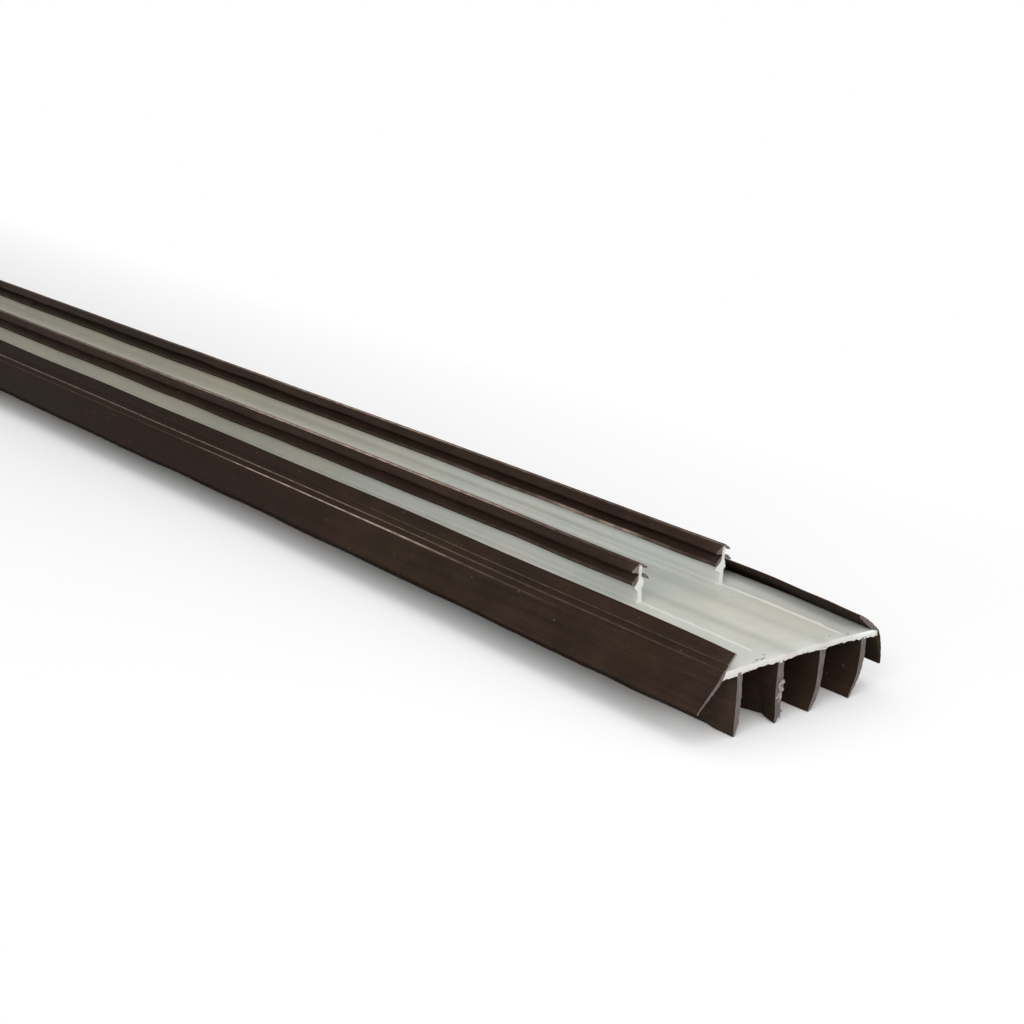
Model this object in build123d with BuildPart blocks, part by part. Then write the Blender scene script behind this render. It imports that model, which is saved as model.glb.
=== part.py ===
"""Kerf-in door sweep: a rigid vinyl strip that presses into two kerfs in the bottom of a door.

All sizes are in millimetres. X runs along the strip, Y across it from the door's
front face to its back face, and Z up. The strip stands on the tips of its fins,
with the origin on the floor under the middle of its bounding box.
"""

import os
from math import cos, radians, sin

from build123d import *

# Overall sizes
length = 914.4
door_thickness = 44.45
plate_thickness = 1.3
fin_height = 12.2

# Kerf legs, which stand on the plate and stop short of both ends
kerf_spacing = 23.2
kerf_setback = 1.6
leg_height = 8.5
leg_notch = 33.3
leg_foot_width = 1.8
leg_foot_height = 0.5
leg_web_width = 1.1
leg_web_height = 2.7
shoulder_width = 3.0
shoulder_height = 3.8
neck_width = 0.8
neck_height = 5.9
crown_width = 0.9
crown_depth = 0.3

# Low stubs that the trimming of the legs leaves on the plate
stub_width = 0.9
stub_height = 0.3
stub_end_gap = 4.0

# Soft cap on each kerf leg, with a barb drooping from its front and one from its rear
cap_skin = 0.2
cap_width = 1.2
cap_depth = 0.3
cap_front_reach = 2.15
cap_front_droop = 1.45
cap_rear_reach = 1.8
cap_rear_droop = 1.05
cap_rear_root = 1.0

# Soft barbs below the cap, one on the front and one on the rear of each kerf leg
barb_tip_thickness = 0.35
barb_root = 0.4
barb_gap = 0.1
barb_front_reach = 2.1
barb_front_droop = 1.85
barb_rear_reach = 2.3
barb_rear_droop = 1.5

# Soft fins under the plate, from front to rear, and how far each tip is bent to the front
fin_pitch = 11.75
fin_set_forward = 0.3
fin_root_thickness = 1.4
fin_tip_thickness = 0.9
fin_straight_part = 0.55
fin_bends = (0.25, 0.15, 1.9, 2.3)
land_margin = 0.35
hollow_rise = 0.4

# Soft front panel: a lip above the plate and a drip flap below it, in one straight slope
panel_lean = 38.0
front_skin = 0.6
front_lip_reach = 5.6
front_lip_thickness = 0.95
front_lip_edge = 0.7
drip_flap_reach = 7.7
drip_flap_thickness = 0.85
drip_flap_edge = 0.35
bead_height = 0.12
bead_top = 1.35
bead_bottom = -0.15
groove_depth = 0.15
groove_width = 1.25
rib_height = 0.12
rib_width = 0.3

# Soft rear edge: a lip that leans in over the plate and a flap that hangs behind it
rear_skin = 0.45
rear_lip_rise = 3.8
rear_lip_overhang = 6.6
rear_lip_root = 2.2
rear_lip_edge = 0.5
rear_lip_bulge = 0.25
rear_bevel = 0.6
rear_corner_drop = 0.5
rear_flap_drop = 7.2
rear_flap_flare = 1.55
rear_flap_bulge = 0.4
rear_flap_root = 1.1
rear_flap_edge = 0.7

# Places worked out from the sizes, across the strip from the middle of the door
front_face = -door_thickness / 2
rear_face = door_thickness / 2
plate_rear = rear_face - rear_skin
plate_top = fin_height + plate_thickness
bevel_start = (rear_face - rear_lip_root, plate_top)
bevel_end = (plate_rear, plate_top - rear_bevel)
lean = radians(panel_lean)
core_height = leg_height - cap_skin
core_shoulder = core_height - crown_depth
leg_places = {
    "front_leg": kerf_setback - kerf_spacing / 2,
    "rear_leg": kerf_setback + kerf_spacing / 2,
}
first_fin = -fin_set_forward - fin_pitch * (len(fin_bends) - 1) / 2
fin_places = [first_fin + fin_pitch * count for count in range(len(fin_bends))]


def on_panel(along, out):
    """Place a point by the front panel: up along it from the plate's lower corner, and out."""
    across = front_face + along * sin(lean) - out * cos(lean)
    up = fin_height + along * cos(lean) + out * sin(lean)
    return (across, up)


def panel_at_height(height, out):
    """Place the point at this height above the plate's underside, so far out of the panel."""
    return on_panel((height - out * sin(lean)) / cos(lean), out)


# The strip is moved across so that the origin lies under the middle of its bounding box
front_reach = -on_panel(-drip_flap_reach, front_skin)[0]
rear_reach = rear_face + rear_flap_flare
middle = (front_reach - rear_reach) / 2


def section_at(start):
    """The plane of the cross-section at this place along the strip."""
    return Plane(origin=(start, middle, 0), x_dir=(0, 1, 0), z_dir=(1, 0, 0))


full_section = section_at(-length / 2)
leg_section = section_at(-length / 2 + leg_notch)
leg_length = length - 2 * leg_notch
stub_length = leg_notch - stub_end_gap

os.makedirs("parts", exist_ok=True)

# Rigid base strip: the plate, its two kerf legs and the stubs of the trimmed legs
land = fin_root_thickness / 2 + land_margin
hollow_starts = [place + land for place in fin_places[:-1]]
hollow_ends = [place - land for place in fin_places[1:]]

with BuildPart() as base_strip:
    with BuildSketch(full_section):
        with BuildLine():
            Polyline(
                (hollow_starts[0], fin_height),
                on_panel(0, 0),
                panel_at_height(plate_thickness, 0),
                bevel_start,
                bevel_end,
                (plate_rear, fin_height),
                (hollow_ends[-1], fin_height),
            )
            for start, end in zip(hollow_starts, hollow_ends):
                ThreePointArc(
                    (start, fin_height),
                    ((start + end) / 2, fin_height + hollow_rise),
                    (end, fin_height),
                )
            for start, end in zip(hollow_starts[1:], hollow_ends[:-1]):
                Line((end, fin_height), (start, fin_height))
        make_face()
    extrude(amount=length)
    for place in leg_places.values():
        with BuildSketch(leg_section):
            with BuildLine():
                half_outline = [
                    (leg_foot_width / 2, 0),
                    (leg_web_width / 2, leg_foot_height),
                    (leg_web_width / 2, leg_web_height),
                    (shoulder_width / 2, shoulder_height),
                    (neck_width / 2, neck_height),
                    (crown_width / 2, core_shoulder),
                ]
                right = [(place + out, plate_top + up) for out, up in half_outline]
                left = [(place - out, plate_top + up) for out, up in half_outline]
                Polyline(*right)
                ThreePointArc(right[-1], (place, plate_top + core_height), left[-1])
                Polyline(*left)
                Line(left[0], right[0])
            make_face()
        extrude(amount=leg_length)
        for start in (-length / 2 + stub_end_gap, length / 2 - leg_notch):
            with BuildSketch(section_at(start)):
                with BuildLine():
                    stub_left = (place - stub_width / 2, plate_top)
                    stub_right = (place + stub_width / 2, plate_top)
                    ThreePointArc(stub_left, (place, plate_top + stub_height), stub_right)
                    Line(stub_right, stub_left)
                make_face()
            extrude(amount=stub_length)
base_strip.part.label = "base_strip"
export_step(base_strip.part, "parts/base_strip.step")

# Soft front panel, with a groove and a flat bead where it wraps the plate's edge
lip_inside = front_skin - front_lip_thickness
flap_inside = front_skin - drip_flap_thickness
groove_top = bead_top + groove_width
bead_out = front_skin + bead_height
groove_out = front_skin - groove_depth
rib_out = front_skin + rib_height

with BuildPart() as front_flap:
    with BuildSketch(full_section):
        with BuildLine():
            Polyline(
                on_panel(front_lip_reach, front_skin - front_lip_edge),
                panel_at_height(plate_thickness, lip_inside),
                panel_at_height(plate_thickness, 0),
                on_panel(0, 0),
                panel_at_height(0, flap_inside),
                on_panel(-drip_flap_reach, front_skin - drip_flap_edge),
                on_panel(-drip_flap_reach, front_skin),
                on_panel(bead_bottom - rib_width, front_skin),
                on_panel(bead_bottom, bead_out),
                on_panel(bead_top, bead_out),
                on_panel(bead_top + rib_width, groove_out),
                on_panel(groove_top, groove_out),
                on_panel(groove_top + rib_width / 2, rib_out),
                on_panel(groove_top + rib_width, front_skin),
                on_panel(front_lip_reach, front_skin),
                close=True,
            )
        make_face()
    extrude(amount=length)
front_flap.part.label = "front_flap"
export_step(front_flap.part, "parts/front_flap.step")

# Soft rear edge, which wraps the plate's rear edge in one piece
lip_tip = (rear_face - rear_lip_overhang, plate_top + rear_lip_rise)
lip_back = (rear_face, plate_top - rear_corner_drop)
lip_run = Vector(*lip_back) - Vector(*lip_tip)
lip_normal = lip_run.normalized().rotate(Axis.Z, 90)
lip_middle = (Vector(*lip_back) + Vector(*lip_tip)) / 2 + lip_normal * rear_lip_bulge
lip_under = Vector(*lip_tip) - lip_normal * rear_lip_edge
flap_tip = (rear_face + rear_flap_flare, fin_height + plate_thickness / 2 - rear_flap_drop)
flap_inner_tip = (flap_tip[0] - rear_flap_edge, flap_tip[1])
flap_inner_root = (rear_face - rear_flap_root, fin_height)
flap_outer_middle = (
    (rear_face + flap_tip[0]) / 2 + rear_flap_bulge,
    (lip_back[1] + flap_tip[1]) / 2,
)
flap_inner_middle = (
    (flap_inner_root[0] + flap_inner_tip[0]) / 2 + rear_flap_bulge,
    (fin_height + flap_tip[1]) / 2,
)

with BuildPart() as rear_flap:
    with BuildSketch(full_section):
        with BuildLine():
            ThreePointArc(lip_tip, (lip_middle.X, lip_middle.Y), lip_back)
            ThreePointArc(lip_back, flap_outer_middle, flap_tip)
            Line(flap_tip, flap_inner_tip)
            ThreePointArc(flap_inner_tip, flap_inner_middle, flap_inner_root)
            Polyline(
                flap_inner_root,
                (plate_rear, fin_height),
                bevel_end,
                bevel_start,
                (lip_under.X, lip_under.Y),
                lip_tip,
            )
        make_face()
    extrude(amount=length)
rear_flap.part.label = "rear_flap"
export_step(rear_flap.part, "parts/rear_flap.step")

# Soft fins, straight below the plate and then bent towards the front at the tip
bend_start = fin_height * fin_straight_part

for number, (place, bend) in enumerate(zip(fin_places, fin_bends), start=1):
    with BuildPart() as fin:
        with BuildSketch(full_section):
            with BuildLine():
                for side in (-1, 1):
                    root = (place + side * fin_root_thickness / 2, fin_height)
                    turn = (place + side * fin_root_thickness / 2, bend_start)
                    tip = (place - bend + side * fin_tip_thickness / 2, 0)
                    Line(root, turn)
                    Bezier(turn, (turn[0], bend_start / 2), tip)
                for half, height, shift in (
                    (fin_root_thickness / 2, fin_height, 0),
                    (fin_tip_thickness / 2, 0, bend),
                ):
                    Line((place - shift - half, height), (place - shift + half, height))
            make_face()
        extrude(amount=length)
    fin.part.label = f"fin_{number}"
    export_step(fin.part, f"parts/fin_{number}.step")


def leg_half_width(height):
    """Half the width of the kerf leg at this height, between its neck and its crown."""
    rise = (height - neck_height) / (core_shoulder - neck_height)
    return (neck_width + (crown_width - neck_width) * rise) / 2


# Soft caps: a thin skin over the crown of each leg, which ends in a barb on either side
barb_root_top = neck_height + barb_root
front_root = barb_root_top + barb_gap
rear_root = leg_height - cap_rear_root
front_tip = leg_height - cap_front_droop
rear_tip = leg_height - cap_rear_droop
cap_shoulder = leg_height - cap_depth

for leg_name, place in leg_places.items():
    with BuildPart() as cap:
        with BuildSketch(leg_section):
            with BuildLine():
                over_front = [
                    (-leg_half_width(front_root), front_root),
                    (-cap_front_reach, front_tip - barb_tip_thickness),
                    (-cap_front_reach, front_tip),
                    (-cap_width / 2, cap_shoulder),
                ]
                over_rear = [
                    (cap_width / 2, cap_shoulder),
                    (cap_rear_reach, rear_tip),
                    (cap_rear_reach, rear_tip - barb_tip_thickness),
                    (leg_half_width(rear_root), rear_root),
                    (crown_width / 2, core_shoulder),
                ]
                front_line = [(place + out, plate_top + up) for out, up in over_front]
                rear_line = [(place + out, plate_top + up) for out, up in over_rear]
                core_front = (place - crown_width / 2, plate_top + core_shoulder)
                Polyline(*front_line)
                ThreePointArc(front_line[-1], (place, plate_top + leg_height), rear_line[0])
                Polyline(*rear_line)
                ThreePointArc(rear_line[-1], (place, plate_top + core_height), core_front)
                Line(core_front, front_line[0])
            make_face()
        extrude(amount=leg_length)
    cap.part.label = f"{leg_name}_cap"
    export_step(cap.part, f"parts/{leg_name}_cap.step")

# Soft barbs below the caps
barbs = {
    "front": (-1, barb_front_reach, barb_root_top - barb_front_droop),
    "rear": (1, barb_rear_reach, barb_root_top - barb_rear_droop),
}

for leg_name, place in leg_places.items():
    for barb_name, (side, reach, tip) in barbs.items():
        outline = [
            (leg_half_width(barb_root_top), barb_root_top),
            (reach, tip),
            (reach, tip - barb_tip_thickness),
            (leg_half_width(neck_height), neck_height),
        ]
        with BuildPart() as barb:
            with BuildSketch(leg_section):
                with BuildLine():
                    Polyline(
                        *[(place + side * out, plate_top + up) for out, up in outline],
                        close=True,
                    )
                make_face()
            extrude(amount=leg_length)
        barb.part.label = f"{leg_name}_{barb_name}_barb"
        export_step(barb.part, f"parts/{leg_name}_{barb_name}_barb.step")
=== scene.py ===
"""Kerf-in door sweep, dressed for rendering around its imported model.

The strip is extruded from two vinyls at once, a rigid off-white one and a soft dark brown one.
Each piece is an outline drawn across the strip, in millimetres, and carried along it from cut end
to cut end. On its way the outline wavers a little, as soft vinyl does, and it is ragged at the cuts.
"""

from itertools import pairwise
from math import copysign, cos, exp, pi, radians, sin
from random import Random
from types import SimpleNamespace

import bmesh
import bpy
from bpy.props import FloatProperty, FloatVectorProperty, PointerProperty
from bpy.types import Operator, Panel, PropertyGroup
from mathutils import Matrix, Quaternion, Vector, noise


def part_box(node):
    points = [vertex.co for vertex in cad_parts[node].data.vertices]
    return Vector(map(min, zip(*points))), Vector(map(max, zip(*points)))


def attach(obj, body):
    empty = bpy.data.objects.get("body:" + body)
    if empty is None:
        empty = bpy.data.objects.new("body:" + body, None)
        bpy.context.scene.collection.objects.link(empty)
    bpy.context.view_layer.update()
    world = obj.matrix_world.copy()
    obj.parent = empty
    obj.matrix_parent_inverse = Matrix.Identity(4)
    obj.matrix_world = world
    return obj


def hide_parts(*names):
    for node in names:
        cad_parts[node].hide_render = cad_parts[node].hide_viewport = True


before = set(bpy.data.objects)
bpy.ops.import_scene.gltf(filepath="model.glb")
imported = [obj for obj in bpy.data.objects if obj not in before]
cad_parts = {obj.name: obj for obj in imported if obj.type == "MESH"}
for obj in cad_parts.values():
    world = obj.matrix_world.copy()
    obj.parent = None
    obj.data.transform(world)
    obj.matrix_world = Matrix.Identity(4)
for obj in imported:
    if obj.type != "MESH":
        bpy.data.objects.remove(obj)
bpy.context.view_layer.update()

bl_info = {
    "name": "Kerf-in door sweep",
    "version": (1, 0, 0),
    "blender": (4, 5, 0),
    "location": "View3D > Sidebar > Door sweep",
    "description": "Builds the vinyl pieces of a kerf-in door sweep and the stage around them",
    "category": "Object",
}

MM = 0.001
ROOT = "root"


def corners(node):
    """Lowest and highest corner of a node of the frame, in millimetres."""
    low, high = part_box(node)
    return low / MM, high / MM


# Places that the frame gives, in millimetres
strip_low, strip_high = corners("base_strip")
cap_high = corners("front_leg_cap")[1]
half_length = strip_high.x
leg_end = cap_high.x
leg_top = cap_high.z
plate_under = strip_low.z
front_face = strip_low.y

# Steps along the strip, from the finest at a cut end to the coarsest in the middle
FINEST_STEP = 0.12
COARSEST_STEP = 4.0
STEP_GROWTH = 1.12

# How an outline is drawn: the spacing of the plate's points, the turn from which a corner is rounded,
# the share of an edge that this takes at most, the points that round it or a longer curve, and the
# angle from which an edge is shaded sharp
POINT_SPACING = 0.5
SHARP_TURN = radians(25)
ROUNDED_SHARE = 0.45
ROUNDING_STEPS = 3
ARC_STEPS = 10
STUB_STEPS = 8
SHARP_EDGE = radians(38)

# How each other piece is drawn, as (radius of its corners, spacing of its points, burr at its cuts)
DRAWN = {
    "kerf leg": (0.15, 0.5, 0.1),
    "front flap": (0.12, 0.3, 0.12),
    "rear flap": (0.14, 0.45, 0.12),
    "fin": (0.2, 0.6, 0.14),
    "cap": (0.12, 0.12, 0.08),
    "front_barb": (0.12, 0.3, 0.08),
    "rear_barb": (0.12, 0.3, 0.08),
}
PLATE_BURR = 0.15
STUB_BURR = 0.03

# How deep a leg or a stub is set into the plate, and soft vinyl into a leg or a hair into the plate
SINK = 0.15
OVERLAP = 0.05

# How a cut leaves the vinyl: loose grains at the edge, which fade within a fraction of a millimetre
CUT_GRAIN = 2.6
CUT_LIFT = 0.2
CUT_FADE = 0.22
CUT_REACH = 1.2
CUT_ROUGHNESS = 0.06

# How much paler scuffs leave the soft vinyl at a cut, and how far along they fade. One fin is painted as pale
# all along, as painted light
SCUFF_AND_FIN_LIGHT = 0.03
SCUFF_REACH = 2.5

# Waves along the strip, as (height, wavelength, seed), and how far apart their seeds lie. The heights
# for the saw's burr, a stub's height and nicks and the fins are shares of a size
SEED_STEP = 17.3
WAVES = {
    "saw burr": (0.8, 1.1, 3),
    "leg": (0.07, 23, 0),
    "stub height": (0.35, 3.5, 5),
    "stub nicks": (0.2, 0.9, 7),
    "stub drift": (0.08, 6, 9),
    "front lip stretch": (0.12, 48, 21),
    "front flap stretch": (0.14, 37, 22),
    "front lip swing": (0.15, 60, 23),
    "front flap swing": (0.25, 44, 24),
    "rear lip swing": (0.2, 52, 31),
    "rear flap swing": (0.25, 40, 32),
    "rear lip rise": (0.12, 34, 33),
    "rear flap rise": (0.1, 29, 34),
    "fin, long": (1.0, 31, 40),
    "fin, short": (0.5, 11, 50),
    "barb rise": (0.16, 19, 70),
    "barb swing": (0.1, 27, 73),
}

# How the strip bends, as (distance from an end, millimetres to the rear), and how far the rear of
# its plate sags at the end in the photograph
BOW = [(0, 0.0), (20, 0.0), (40, 0.08), (100, 0.7), (150, 0.8), (210, 0.5), (300, 0.1), (450, 0.0)]
SAG = 0.5
SAG_REACH = 16.0
SAG_ACROSS = [(4, 0), (24, 1)]

# How far the plate is crowned under the front leg and along its rear edge: place across the strip,
# reach, and the rise as (distance from the end, rise)
CROWNS = (
    (-8.0, 9.0, [(0, 0.0), (5, 0.2), (25, 0.5), (60, 0.5), (120, 0.0)]),
    (22.0, 7.0, [(2, 0.0), (25, 0.5), (60, 0.5), (120, 0.0)]),
)


def length(name, description, millimetres):
    """A property that holds a length, shown in Blender's units."""
    return FloatProperty(
        name=name, description=description, default=millimetres * MM, min=0, precision=6, unit="LENGTH"
    )


def linear(red, green, blue):
    """A screen's colour, from 0 to 255, as the linear values of a shader, by the sRGB curve."""
    values = []
    for value in (red, green, blue):
        share = value / 255
        values.append(share / 12.92 if share <= 0.04045 else ((share + 0.055) / 1.055) ** 2.4)
    return tuple(values)


def colour(name, description, *screen):
    """A property that holds a colour."""
    return FloatVectorProperty(
        name=name, description=description, default=linear(*screen), size=3, min=0, max=1, subtype="COLOR"
    )


class RigidStripSizes(PropertyGroup):
    """Sizes of the rigid plate, of its two kerf legs and of the stubs that the trimmed legs left."""

    plate_thickness: length("Plate thickness", "Thickness of the rigid plate", 1.3)
    hollow_rise: length("Hollow rise", "How far the plate's underside is hollowed between fins", 0.42)
    edge_bevel: length("Edge bevel", "Bevel of the plate's rear top edge", 0.6)
    burr_drop: length("Burr drop", "How far the saw dragged the cut's lower edge down", 0.14)
    sink_depth: length("Sink depth", "Depth of the sink lines in the plate's top", 0.05)
    foot_width: length("Foot width", "Width of a kerf leg where it meets the plate", 1.45)
    foot_height: length("Foot height", "Height over which the foot narrows to the web", 0.5)
    web_width: length("Web width", "Width of a kerf leg's web", 1.05)
    neck_width: length("Neck width", "Width of a kerf leg's neck", 0.8)
    neck_height: length("Neck height", "Height of the neck above the plate", 5.9)
    crown_width: length("Crown width", "Width of the crown under the cap", 0.9)
    crown_depth: length("Crown depth", "Height of the crown's curve", 0.3)
    stub_width: length("Stub width", "Width of the stub that a trimmed leg leaves", 0.9)
    stub_height: length("Stub height", "Height of that stub", 0.3)
    front_stub_gap: length("Front stub gap", "How far the front stub ends before the plate does", 4.0)
    rear_stub_gap: length("Rear stub gap", "How far the rear stub ends before the plate does", 1.2)


class FrontFlapSizes(PropertyGroup):
    """Sizes of the soft panel on the plate's front edge."""

    skin: length("Skin", "Thickness of the panel outside the plate's edge", 0.6)
    lip_reach: length("Lip reach", "Length of the lip above the plate's lower corner", 5.6)
    lip_thickness: length("Lip thickness", "Thickness of the lip at the plate", 0.95)
    lip_edge: length("Lip edge", "Thickness of the lip at its edge", 0.62)
    flap_reach: length("Flap reach", "Length of the drip flap below the plate", 7.7)
    flap_thickness: length("Flap thickness", "Thickness of the drip flap at the plate", 0.85)
    flap_edge: length("Flap edge", "Thickness of the drip flap at its edge", 0.35)
    bead_height: length("Bead height", "How far the flat bead stands out of the panel", 0.12)
    bead_top: length("Bead top", "Top of the bead above the plate's lower corner", 1.35)
    bead_drop: length("Bead drop", "How far the bead reaches below that corner", 0.15)
    groove_depth: length("Groove depth", "Depth of the groove above the bead", 0.15)
    groove_width: length("Groove width", "Width of the groove", 1.25)
    rib_height: length("Rib height", "Height of the rib above the groove", 0.12)
    rib_width: length("Rib width", "Width of the rib", 0.3)
    lean: FloatProperty(
        name="Lean", description="Lean of the panel to the rear", default=radians(38), subtype="ANGLE"
    )


class RearFlapSizes(PropertyGroup):
    """Sizes of the soft lip and flap on the plate's rear edge."""

    skin: length("Skin", "Thickness of the vinyl behind the plate's edge", 0.45)
    lip_rise: length("Lip rise", "Height of the lip's edge above the plate", 3.8)
    lip_overhang: length("Lip overhang", "How far the lip leans in over the plate", 6.6)
    lip_root: length("Lip root", "Width of the lip on top of the plate", 2.2)
    lip_edge: length("Lip edge", "Thickness of the lip at its edge", 0.5)
    lip_bulge: length("Lip bulge", "How far the lip's outer face bulges", 0.25)
    corner_drop: length("Corner drop", "How far the outer corner lies below the plate's top", 0.5)
    flap_drop: length("Flap drop", "How far the flap hangs below the middle of the plate", 7.2)
    flap_flare: length("Flap flare", "How far the flap flares to the rear", 1.55)
    flap_bulge: length("Flap bulge", "How far the flap's faces bulge", 0.4)
    flap_root: length("Flap root", "Thickness of the flap at the plate", 1.0)
    flap_edge: length("Flap edge", "Thickness of the flap at its edge", 0.6)


class FinSizes(PropertyGroup):
    """Sizes of the soft fins under the plate."""

    root_thickness: length("Root thickness", "Thickness of a fin at the plate", 1.4)
    wave: length("Wave", "How far a fin's tip wanders from side to side", 0.4)


class BarbSizes(PropertyGroup):
    """Sizes of the soft caps and barbs on the kerf legs."""

    cap_skin: length("Cap skin", "Thickness of the cap over the leg's crown", 0.38)
    cap_width: length("Cap width", "Width of the cap's rounded top", 1.2)
    cap_depth: length("Cap depth", "Height of that rounded top", 0.3)
    cap_front_reach: length("Cap front reach", "Reach of the cap's front barb", 2.15)
    cap_front_droop: length("Cap front droop", "Droop of that barb's tip", 1.45)
    cap_rear_reach: length("Cap rear reach", "Reach of the cap's rear barb", 1.8)
    cap_rear_droop: length("Cap rear droop", "Droop of that barb's tip", 1.05)
    cap_rear_root: length("Cap rear root", "Depth of the rear barb's root", 1.0)
    tip_thickness: length("Tip thickness", "Thickness of a cap's barb at its tip", 0.35)
    lower_tip: length("Lower tip thickness", "Thickness of a lower barb at its tip", 0.6)
    lower_root: length("Lower root drop", "How far a lower barb's root reaches below the neck", 0.3)
    root: length("Root", "Height of a lower barb's root above the neck", 0.4)
    gap: length("Gap", "Gap between the roots of the barbs", 0.1)
    front_reach: length("Front reach", "Reach of the lower front barb", 2.1)
    front_droop: length("Front droop", "Droop of its tip", 1.85)
    rear_reach: length("Rear reach", "Reach of the lower rear barb", 2.45)
    rear_droop: length("Rear droop", "Droop of its tip", 1.25)


class Finish(PropertyGroup):
    """Colours of the two vinyls, of their cut faces, of the light and shade painted on them and of the floor.
    """

    rigid: colour("Rigid vinyl", "Off-white vinyl of the plate and legs", 196, 194, 182)
    rigid_cool: colour("Rigid vinyl, cool", "Cooler patches of that vinyl", 178, 184, 176)
    # A yellower tint of the rigid vinyl away from the near end
    rigid_yellowing: colour("Rigid vinyl, aged", "That vinyl where it grew yellower", 196, 176, 140)
    rigid_cut: colour("Rigid cut", "Freshly cut rigid vinyl", 190, 186, 181)
    # Painted light: the rigid vinyl painted paler in the plate's channels, by the rear lip, on the legs,
    # along the stubs and at the cut ends
    rigid_painted_light: colour("Rigid cut, pale", "Rigid vinyl where a blade has turned it white", 226, 228, 226)
    # Grey of the rigid vinyl's streaks and sink lines, also painted shade where the mesh's tone is below zero
    grey_band_and_shade: colour("Sink band", "Rigid vinyl in a sink line", 158, 161, 154)
    soft: colour("Soft vinyl", "Dark brown vinyl", 59, 44, 38)
    soft_olive: colour("Soft vinyl, olive", "Olive patches of that vinyl", 52, 43, 32)
    # Also painted shade on the front panel away from the near end
    soft_deep_and_shade: colour("Soft vinyl, deep", "Darker streaks of that vinyl", 37, 28, 23)
    soft_cut: colour("Soft cut", "Freshly cut soft vinyl", 106, 98, 96)
    # Also painted light on the front cap's cut face
    soft_pale_and_lit: colour("Soft cut, pale", "Where a cut has smeared rigid vinyl over it", 172, 168, 162)
    torn: colour("Torn vinyl", "Soft vinyl that the blade tore", 152, 139, 136)
    # Painted highlight on worn edges and crests
    crest: colour("Crest", "Soft vinyl where an edge is worn and shiny", 206, 182, 166)
    dust: colour("Dust", "Specks of dust on the soft vinyl", 150, 140, 128)
    fleck: colour("Fleck", "Brown shavings that stick to the plate", 138, 113, 90)
    floor: colour("Floor", "The pale floor", 250, 250, 250)


def in_mm(group):
    """The lengths of a property group in millimetres, by name."""
    return SimpleNamespace(**{key: getattr(group, key) / MM for key in type(group).__annotations__})


def top_of(strip):
    """Height of the plate's top face."""
    return plate_under + strip.plate_thickness


def depth_of(point):
    """How far a point lies from the nearer end of the strip."""
    return half_length - abs(point.x)


def wave(place, name, shift=0):
    """How far a smooth wave that never repeats stands out at a place. A shift gives one like it."""
    height, wavelength, seed = WAVES[name]
    return height * 2 * noise.noise(Vector((place / wavelength, (seed + shift) * SEED_STEP, 0)))


def keyed(keys, place):
    """Read a value from a short list of (place, value), joined by smooth steps."""
    if place <= keys[0][0]:
        return keys[0][1]
    for (start, low), (end, high) in pairwise(keys):
        if place < end:
            share = (place - start) / (end - start)
            return low + (high - low) * share * share * (3 - 2 * share)
    return keys[-1][1]


def smooth(points, steps):
    """A smooth curve through the given points, without the last one."""
    ends = [2 * points[0] - points[1], *points, 2 * points[-1] - points[-2]]
    result = []
    for before, start, end, after in zip(ends, ends[1:], ends[2:], ends[3:]):
        for step in range(steps):
            t = step / steps
            pull = (end - before) * (t - 2 * t * t + t ** 3) + (after - start) * (t ** 3 - t * t)
            result.append(start + (end - start) * (3 * t * t - 2 * t ** 3) + pull / 2)
    return result


def arc(start, middle, end, steps):
    """Points of the curve that starts, bulges and ends at three given points, without the end."""
    bulge = 2 * middle - (start + end) / 2
    shares = [step / steps for step in range(steps)]
    return [start * (1 - t) ** 2 + bulge * 2 * t * (1 - t) + end * t ** 2 for t in shares]


def rounded(outline, radius):
    """Round the sharp corners of a closed outline."""
    result = []
    for before, corner, after in zip(outline[-1:] + outline[:-1], outline, outline[1:] + outline[:1]):
        arriving, leaving = corner - before, after - corner
        if arriving.angle(leaving) < SHARP_TURN:
            result.append(corner)
            continue
        reach = min(radius, arriving.length * ROUNDED_SHARE, leaving.length * ROUNDED_SHARE)
        start = corner - arriving.normalized() * reach
        end = corner + leaving.normalized() * reach
        result += arc(start, (start + 2 * corner + end) / 4, end, ROUNDING_STEPS) + [end]
    return result


def filled(outline, spacing):
    """Add points along the long edges of a closed outline."""
    result = []
    for start, end in zip(outline, outline[1:] + outline[:1]):
        count = max(1, round((end - start).length / spacing))
        result += [start.lerp(end, step / count) for step in range(count)]
    return result


def outward_from(outline):
    """The outward direction at each point of a closed outline that runs either way round."""
    turn = sum(a.x * b.y - b.x * a.y for a, b in zip(outline, outline[1:] + outline[:1]))
    side = 1 if turn > 0 else -1
    directions = []
    for before, after in zip(outline[-1:] + outline[:-1], outline[1:] + outline[:1]):
        run = (after - before).normalized()
        directions.append(Vector((run.y, -run.x)) * side)
    return directions


def stations(low, high):
    """Places along the strip, closest together at the two cut ends."""
    from_end = [0.0]
    step = FINEST_STEP
    while from_end[-1] + step < (high - low) / 2:
        from_end.append(from_end[-1] + step)
        step = min(step * STEP_GROWTH, COARSEST_STEP)
    return [low + depth for depth in from_end] + [high - depth for depth in reversed(from_end)]


def settle(point):
    """Bend a point sideways with the strip, and let the rear of the plate sag at the near end."""
    depth = depth_of(point)
    point.y += keyed(BOW, depth)
    above = max(0.0, point.z - plate_under) / (leg_top - plate_under)
    for place, reach, rise in CROWNS:
        across = (point.y - place) / reach
        if abs(across) < 1:
            share = cos(across * pi / 2) ** 2 * min(1 - above, point.z / plate_under)
            point.z += keyed(rise, depth) * share
    if point.x > 0:
        rearward = keyed(SAG_ACROSS, point.y)
        point.z -= SAG * rearward * exp(-depth / SAG_REACH) * min(1.0, point.z / plate_under)
    return point


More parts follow.
